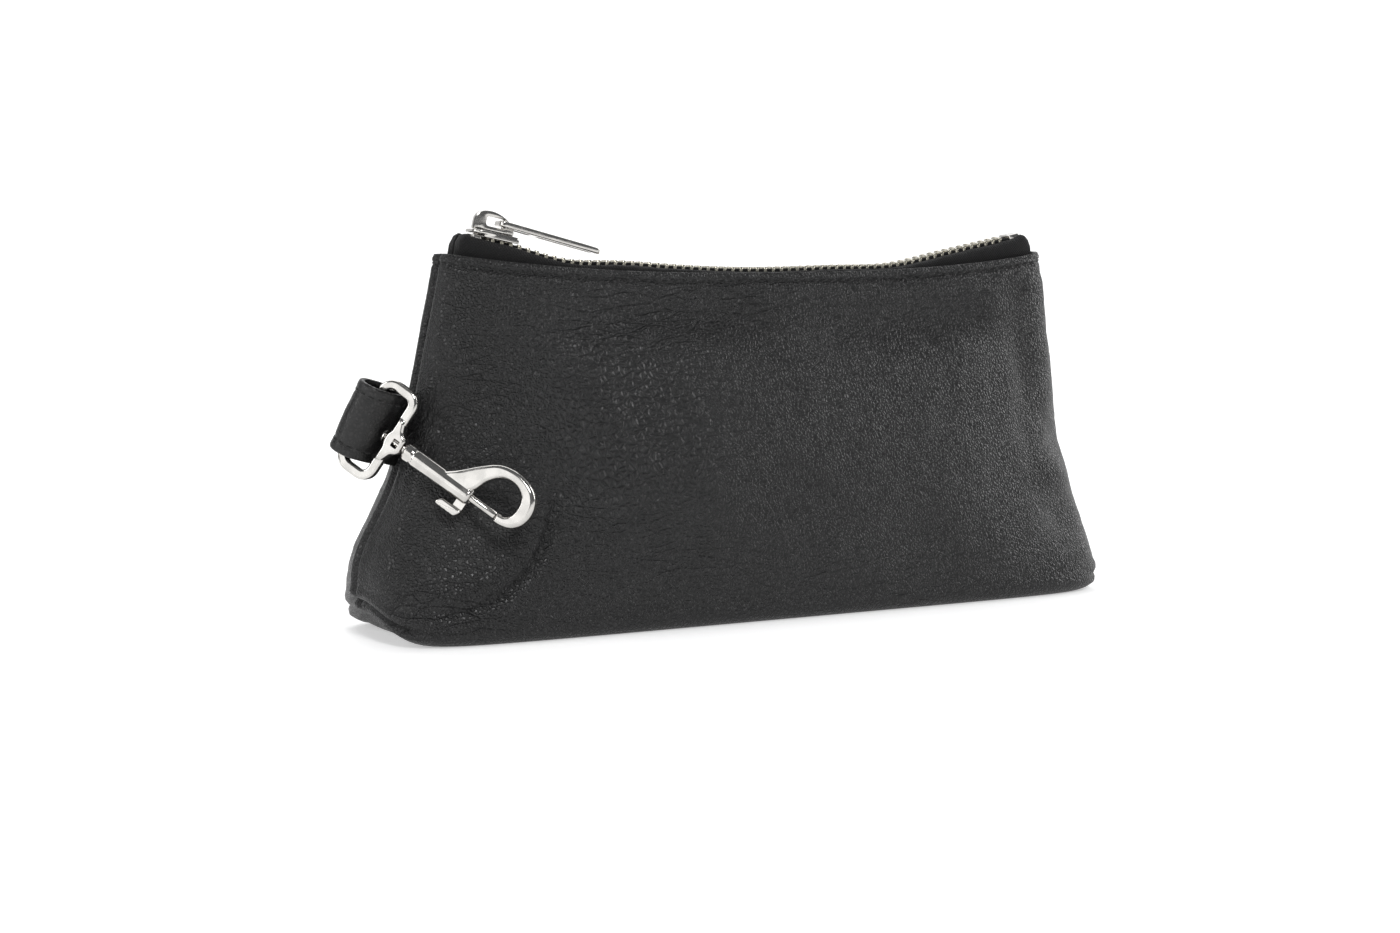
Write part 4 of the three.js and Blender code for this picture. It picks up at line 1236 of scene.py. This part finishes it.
# %% Bend the bridge and stamp the pull
BRIDGE_FOOT = CHANNEL_HALF + PLATE + 0.15
BRIDGE_HEIGHT, BRIDGE_HALF, BRIDGE_THICKNESS, BRIDGE_BAR = 5.6, 6.0, 2.2, 1.5
EYE_X, EYE_LENGTH, EYE_HEIGHT = 0.2, 5.4, 2.6
EYE_Z = BRIDGE_FOOT + BRIDGE_BAR + EYE_HEIGHT / 2
PULL_LENGTH, PULL_WIDTH, PULL_THICKNESS, PULL_WINDOW = 31, 6, 1.6, 8.2
PULL_DROOP = math.radians(3)


def quad_curve(start, control, end, steps=8):
    line = []
    for k in range(1, steps + 1):
        u = k / steps
        weights = (1 - u) ** 2, 2 * u * (1 - u), u * u
        line.append(tuple(sum(w * v for w, v in zip(weights, values)) for values in zip(start, control, end)))
    return line


def oblong(x0, x1, z0, z1):
    return [(x0, z0), (x1, z0), (x1, z1), (x0, z1)]


def softened(outline, radius, steps=4):
    """An outline with rounded corners, as plain pairs."""
    return [tuple(p) for p in rounded_corners(outline, radius, steps)]


def reach(outline, centre, turn):
    """How far the outline is from a centre inside it, in one direction."""
    dx, dz = math.cos(turn), math.sin(turn)
    for (ax, az), (bx, bz) in zip(outline, outline[1:] + outline[:1]):
        ex, ez = bx - ax, bz - az
        wx, wz = ax - centre[0], az - centre[1]
        across = dx * ez - dz * ex
        if abs(across) > 1e-9:
            far, along = (wx * ez - wz * ex) / across, (wx * dz - wz * dx) / across
            if far > 0 and -1e-6 <= along <= 1 + 1e-6:
                return far
    return 0.0


def plate_with_eye(outline, eye, centre, thickness, ease, steps=72):
    """A plate in X and Z with one hole, as a ring of rounded sections round the hole's centre."""
    half = thickness / 2
    section = [(0, ease - half), (0.3 * ease, 0.3 * ease - half), (ease, -half)]
    points, faces = [], []
    for k in range(steps):
        turn = 2 * math.pi * (k + 0.5) / steps
        near, far = reach(eye, centre, turn), reach(outline, centre, turn)
        ring = [(near + r, y) for r, y in section] + [(far - r, y) for r, y in section[::-1]]
        ring += [(far - r, -y) for r, y in section] + [(near + r, -y) for r, y in section[::-1]]
        dx, dz = math.cos(turn), math.sin(turn)
        points += [Vector((centre[0] + r * dx, y, centre[1] + r * dz)) for r, y in ring]
    count = 4 * len(section)
    for k in range(steps):
        following = (k + 1) % steps
        for j in range(count):
            i = (j + 1) % count
            faces.append((k * count + j, k * count + i, following * count + i, following * count + j))
    return points, faces


def bridge():
    foot, top, half = BRIDGE_FOOT, BRIDGE_FOOT + BRIDGE_HEIGHT, BRIDGE_HALF
    outline = [(-half, foot), (half, foot)]
    outline += quad_curve((half, foot), (half, foot + 2.4), (half - 2.4, top - 1.6))
    outline += quad_curve((half - 2.4, top - 1.6), (1, top), (-1.5, top))
    outline += quad_curve((-1.5, top), (-half, top), (-half, foot + 2.4))
    x0, x1 = EYE_X - EYE_LENGTH / 2, EYE_X + EYE_LENGTH / 2
    eye = softened(oblong(x0, x1, EYE_Z - EYE_HEIGHT / 2, EYE_Z + EYE_HEIGHT / 2), 0.9)
    return plate_with_eye(outline, eye, (EYE_X, EYE_Z), BRIDGE_THICKNESS, 0.4)


def pull():
    half, head = PULL_WIDTH / 2, PULL_THICKNESS / 2
    end = PULL_LENGTH - head
    lower = [(-head, -half), (end - 5, -half + 0.3), (end, -half + 0.9)]
    outline = softened(lower + [(x, -y) for x, y in lower[::-1]], 1.5, 6)
    window_half = BRIDGE_THICKNESS / 2 + RUNNING_GAP
    window = softened(oblong(head, head + PULL_WINDOW, -window_half, window_half), 0.5)
    start, stop = head + 10.5, end - 2.2
    sunk = [(start, -half + 1.5), (stop, -half + 1.9), (stop, half - 1.9), (start, half - 1.5)]
    panel = softened(sunk, 0.9)
    cuts = [laid_flat(plate(window, PULL_THICKNESS + 2, 0.0), 0)]
    cuts += [laid_flat(plate(panel, 0.5, 0.12), side * (PULL_THICKNESS / 2 + 0.05)) for side in (-1, 1)]
    return carved(laid_flat(plate(outline, PULL_THICKNESS, 0.42), 0), cuts)


part = placed(bridge(), slider_frame)
piece = make_piece("pull_bridge", *part, bright_nickel, "slider", "nickel", sharp_angle=40)
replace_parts(facing_out(piece), "slider_bridge")
pull_pivot = (EYE_X + EYE_LENGTH / 2 - RUNNING_GAP - PULL_THICKNESS / 2, 0, EYE_Z)
pull_frame = slider_frame @ Matrix.Translation(pull_pivot) @ Matrix.Rotation(PULL_DROOP, 4, "Y")
part = placed(pull(), pull_frame)
piece = make_piece("zip_pull", *part, bright_nickel, "pull", "nickel", sharp_angle=40)
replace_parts(facing_out(piece), "pull_tab")

# %% [markdown]
# ## The strap loop
#
# A leather strap is folded round the ring's bar and both its ends are sewn into the side seam. It has
# painted cut edges, a row of stitches three millimetres in from each, and a slight crown between them. Its
# root sits in the seam, and the strap is set in place as one fixed piece.

# %% Find the strap's frame
STRAP_OUT, STRAP_ACROSS = Vector((-0.93, -0.25, 0.27)), Vector((0.38, -0.27, 0.885))
STRAP_ROOT_Z, STRAP_STAND_OFF = 55, 2.2
STRAP_WIDTH, STRAP_THICKNESS = 20, 1.5
STRAP_REACH, STRAP_BULGE, BAR_SEAT = 17.3, 4.6, 11.4

seam_foot = CORNER_LIFT + EDGE_RADIUS
root_t = np.array([(STRAP_ROOT_Z - seam_foot) / (HEIGHT - seam_foot)])
strap_root = Vector(wall(np.array([-1.0]), np.array([0.0]), root_t, -1)[0])
strap_root.y = 0
strap_frame = frame_matrix(strap_root + STRAP_OUT * STRAP_STAND_OFF, STRAP_OUT, STRAP_ACROSS)
print("strap starts at", [round(v, 1) for v in strap_frame.translation])

# %% Fold the strap
STRAP_STITCH_IN = 3.0
STRAP_BURIED = 2.6


def strap_line(count=70):
    """The strap's outer face, from the seam round the fold and back, in X and Y."""
    root = STRAP_THICKNESS + 0.1
    line = [(-STRAP_BURIED, -root), (0, -root), (2.5, -root - 0.35)]
    line += [(5.5, -STRAP_BULGE * 0.86), (8.5, -STRAP_BULGE)]
    centre = STRAP_REACH - STRAP_BULGE
    for k in range(9):
        a = -math.pi / 2 + math.pi * k / 8
        line.append((centre + STRAP_BULGE * math.cos(a), STRAP_BULGE * math.sin(a)))
    line += [(x, -y) for x, y in line[:5][::-1]]
    return np.array([tuple(p) for p in smooth_line(line, count)])


def strap_faces():
    line = strap_line()
    tangent = np.gradient(line, axis=0)
    tangent /= np.linalg.norm(tangent, axis=1, keepdims=True)
    out = np.stack([tangent[:, 1], -tangent[:, 0]], 1)
    across = np.sin(np.linspace(-math.pi / 2, math.pi / 2, 34)) * STRAP_WIDTH / 2
    edge = STRAP_WIDTH / 2 - np.abs(across)
    rounding = 0.5 * (1 - np.sqrt(1 - (1 - np.clip(edge / 0.7, 0, 1)) ** 2))
    ditch = 0.24 * hill(edge, STRAP_STITCH_IN, 0.55)
    crown = 0.18 * hill(across, 0, 5) + 0.12 * hill(edge, 1.4, 0.9)
    top = -rounding - ditch + crown * 0.8
    grids = []
    for face in (top, -STRAP_THICKNESS + rounding):
        flat = line[:, None] + out[:, None] * face[None, :, None]
        z = np.broadcast_to(across, flat.shape[:2])
        grids.append(np.concatenate([flat, z[:, :, None]], 2))
    outs = np.append(out, np.zeros((len(out), 1)), 1)
    wave = 0.16 * soft_noise(grids[0], 4.5, 12)[:, :, None] * outs[:, None]
    return grids[0] + wave, grids[1] + wave, outs


def strap_stitching():
    top, _, outs = strap_faces()
    rows = []
    across = top[0, :, 2]
    for z in (-STRAP_WIDTH / 2 + STRAP_STITCH_IN, STRAP_WIDTH / 2 - STRAP_STITCH_IN):
        row = int(np.argmin(np.abs(across - z)))
        line = [Vector(p) for p in top[4:-4, row]]
        rows.append(stitches_along(line, [Vector(n) for n in outs[4:-4]], 2.9, 2.2, 0.24, 0.05))
    return joined(rows)


def bend_at_root(piece):
    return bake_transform(piece)


outer_face, inner_face, _ = strap_faces()
points, faces = sheet(outer_face, inner_face)
strap = placed(([Vector(p) for p in points], faces), strap_frame)
piece = facing_out(make_piece("strap_fold", *strap, strap_leather, None, "strap_leather"))
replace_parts(piece, "strap_loop")
bend_at_root(piece)
part = placed(strap_stitching(), strap_frame)
bend_at_root(facing_out(make_piece("strap_stitching", *part, black_thread, None, "tape")))

# %% [markdown]
# ## The ring
#
# The ring is a cast rounded oblong with a thickened outer bar, where the swivel's rivet passes through. Its
# wire isn't quite round: a casting has a flat along each face. The wire and its boss are melted together by
# a fine voxel remesh, which leaves the soft inner corners that a casting has, and the holes are cut after.

# %% Cast the ring
HOOK_AXIS, BAR_AXIS = Vector((0.574, -0.614, -0.542)), Vector((0.468, -0.297, 0.832))
RING_INNER_LENGTH, RING_INNER_WIDTH, RING_WIRE, RING_CORNER = 22, 6.6, 2.8, 3
BOSS_LENGTH, BOSS_HALF, BOSS_DEPTH = 4.8, 2.6, 4.0
RIVET_SHANK = 1.8

hook_frame = frame_matrix(strap_frame @ Vector((BAR_SEAT, 0, 0)), HOOK_AXIS, BAR_AXIS)
ring_half = (RING_INNER_LENGTH + RING_WIRE) / 2
ring_span = RING_INNER_WIDTH + RING_WIRE
boss_start = ring_span - RING_WIRE / 2 + 0.6
boss_end = boss_start + BOSS_LENGTH


def ring_path():
    line = []
    near, far, high = RING_CORNER, ring_span - RING_CORNER, ring_half - RING_CORNER
    for x, z, start in ((far, high, 0), (near, high, 90), (near, -high, 180), (far, -high, 270)):
        for k in range(13):
            a = math.radians(start + 90 * k / 12)
            line.append((x + RING_CORNER * math.cos(a), 0, z + RING_CORNER * math.sin(a)))
    return line


def boss_outline():
    wide = 2 * BOSS_HALF
    upper = [
        (boss_start - 0.8, 1.2), (boss_start - 0.2, 2.4), (ring_span - 1.0, wide + 1.2),
        (ring_span + 0.9, wide + 0.8), (ring_span + 2.1, BOSS_HALF + 0.5), (boss_end - 0.5, BOSS_HALF - 0.2),
        (boss_end, 1.6),
    ]
    return [tuple(p) for p in rounded_corners(upper[::-1] + [(x, -z) for x, z in upper], 0.7)]


def bore(x0, x1, radius, sides=28):
    return turned([(x0, radius), (x1, radius)], sides)


def ring_casting():
    wire = swept(ring_path(), rounded_oblong(RING_WIRE / 2, RING_WIRE / 2, 20), (0, 1, 0), closed=True)
    boss = plate(boss_outline(), BOSS_DEPTH, 0.8)
    window = plate(softened(oblong(boss_end - 3.1, boss_end - 1.2, -1.15, 1.15), 0.3), BOSS_DEPTH + 2, 0.0)
    hole = bore(boss_start - 2, boss_end + 1, RIVET_SHANK / 2 + RUNNING_GAP)
    return cast([wire, boss], [hole, window], grain=0.17, smoothing=5)


part = placed(ring_casting(), hook_frame)
piece = make_piece("ring_casting", *part, bright_nickel, "ring", "nickel", sharp_angle=45)
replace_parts(facing_out(piece), "swivel_ring")

# %% [markdown]
# ## The hook
#
# The hook is one casting: a barrel that holds the spring and bolt, and a neck that rises off it and curls
# round to meet the bolt's tip. The bow is drawn as an outline with eased edges, the barrel is turned, and
# the two are melted together. The slot, in which the bolt's arm slides, is cut last, so its edges stay crisp.

# %% Cast the hook
BARREL_START, BARREL_END, BARREL_RADIUS = 14, 36.1, 2.45
BORE_START, BORE_END, BORE_RADIUS = 18, 34.5, 1.6
PIN_RADIUS, RIVET_SOCKET = 1.05, 3
HOOK_TIP_X, HOOK_THICKNESS = 44.5, 3.8
ARM_END, ARM_LENGTH, GATE_TRAVEL = 35.9, 2.8, 6.5


def bow_outline():
    outside = [
        (26.9, 2.3), (29.7, 4.6), (34.2, 9), (38.3, 12), (43.7, 12.9), (48.5, 11.7), (51.3, 9.2),
        (52.4, 5.7), (51.7, 2.2), (49.7, -0.2), (47, -1.25), (HOOK_TIP_X, -1.35),
    ]
    inside = [
        (HOOK_TIP_X, 1.3), (46.4, 1.5), (47.9, 3), (48.2, 6), (47, 8.6), (44.1, 9.9), (40.6, 9.2),
        (37.8, 6.5), (36.4, 3.4), (35.4, 1.6),
    ]
    bow = smooth_line(outside, 60) + smooth_line(inside, 44)
    return [(24.2, 0.6)] + [tuple(p) for p in bow]


def barrel():
    start, end, r = BARREL_START, BARREL_END, BARREL_RADIUS
    profile = [(start, 0.01), (start, r - 0.75), (start + 0.25, r - 0.3), (start + 0.7, r), (start + 2.6, r)]
    profile += [(start + 2.9, r - 0.16), (start + 3.3, r - 0.16), (start + 3.6, r), (end - 0.7, r)]
    profile += [(end - 0.2, r - 0.3), (end, r - 0.7), (end, 0.01)]
    return turned(profile, 48)


def hook_casting():
    bow = plate(bow_outline(), HOOK_THICKNESS, 1.15, 5)
    slot_start = ARM_END - ARM_LENGTH - GATE_TRAVEL - RUNNING_GAP
    cuts = [
        bore(BORE_START, BORE_END, BORE_RADIUS),
        bore(BORE_END - 1, BARREL_END + 3, PIN_RADIUS + RUNNING_GAP),
        bore(BARREL_START - 1, BARREL_START + RIVET_SOCKET, RIVET_SHANK / 2 + RUNNING_GAP),
        block(slot_start, BARREL_END + 1, -1.0, 1.0, -BARREL_RADIUS - 2, 0),
    ]
    return cast([barrel(), bow], cuts, grain=0.16, smoothing=6)


part = placed(hook_casting(), hook_frame)
piece = make_piece("hook_casting", *part, bright_nickel, "hook", "nickel", sharp_angle=45)
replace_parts(facing_out(piece), "hook_body")

# %% Turn the rivet, the bolt and its knob
RIVET_HEAD, RIVET_HEAD_HEIGHT = 2.2, 1.2
PISTON_LENGTH, PISTON_RADIUS = 5, 1.3
KNOB_DROP, KNOB_DEPTH, KNOB_LENGTH, KNOB_THICKNESS = 4.1, 2.2, 6.7, 4.0


def rivet():
    face = boss_start - 1.1
    profile = [(face - RIVET_HEAD_HEIGHT, 0.01)]
    for k in range(1, 9):
        a = math.pi / 2 * k / 8
        profile.append((face - RIVET_HEAD_HEIGHT * math.cos(a), RIVET_HEAD * math.sin(a)))
    shank, end = RIVET_SHANK / 2, BARREL_START + RIVET_SOCKET - RUNNING_GAP
    return turned(profile + [(face, shank), (end - 0.3, shank), (end, shank - 0.3), (end, 0.01)], 32)


def gate_bolt():
    piston_end, tip = BORE_END - RUNNING_GAP, HOOK_TIP_X - RUNNING_GAP
    piston_start, r = piston_end - PISTON_LENGTH, PISTON_RADIUS
    profile = [(piston_start, 0.01), (piston_start, r - 0.2), (piston_start + 0.2, r), (piston_end, r)]
    profile += [(piston_end, PIN_RADIUS), (tip - 0.3, PIN_RADIUS), (tip, PIN_RADIUS - 0.3), (tip, 0.01)]
    start, end, low, deep = ARM_END - KNOB_LENGTH, ARM_END, -KNOB_DROP, -KNOB_DROP - KNOB_DEPTH
    arm = block(end - ARM_LENGTH, end, -0.7, 0.7, low - 0.6, -0.3)
    corners = [(start + 0.7, low), (end, low), (end + 0.3, low - 0.5), (end - 0.7, deep)]
    corners += [(start, deep), (start - 0.5, deep + 0.6)]
    knob = plate(softened(corners, 0.6), KNOB_THICKNESS, 0.5)
    knurls = []
    for k in range(3):
        x = start + 1.5 + 1.5 * k
        groove = bore(-KNOB_THICKNESS, KNOB_THICKNESS, 0.35, 12)
        points = [Vector((x + p.y, p.x, deep - 0.1 + p.z)) for p in groove[0]]
        knurls.append((points, groove[1]))
    return joined([turned(profile, 28), arm, carved(knob, knurls)])


part = placed(rivet(), hook_frame)
piece = make_piece("rivet_turning", *part, bright_nickel, "hook", "nickel", sharp_angle=50)
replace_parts(facing_out(piece), "swivel_rivet")
part = placed(gate_bolt(), hook_frame)
piece = make_piece("bolt_and_knob", *part, bright_nickel, "gate", "nickel", sharp_angle=45)
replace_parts(facing_out(piece), "gate_bolt")

# %% [markdown]
# ## The spring
#
# The gate's coil spring lies inside the barrel and shows only through the slot. Its solid is already a true
# helix, so it stays as it is and only gets the look of drawn steel wire.

# %% Finish the spring
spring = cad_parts["gate_spring"]
spring.data.materials.clear()
spring.data.materials.append(spring_wire)
spring.data.shade_smooth()
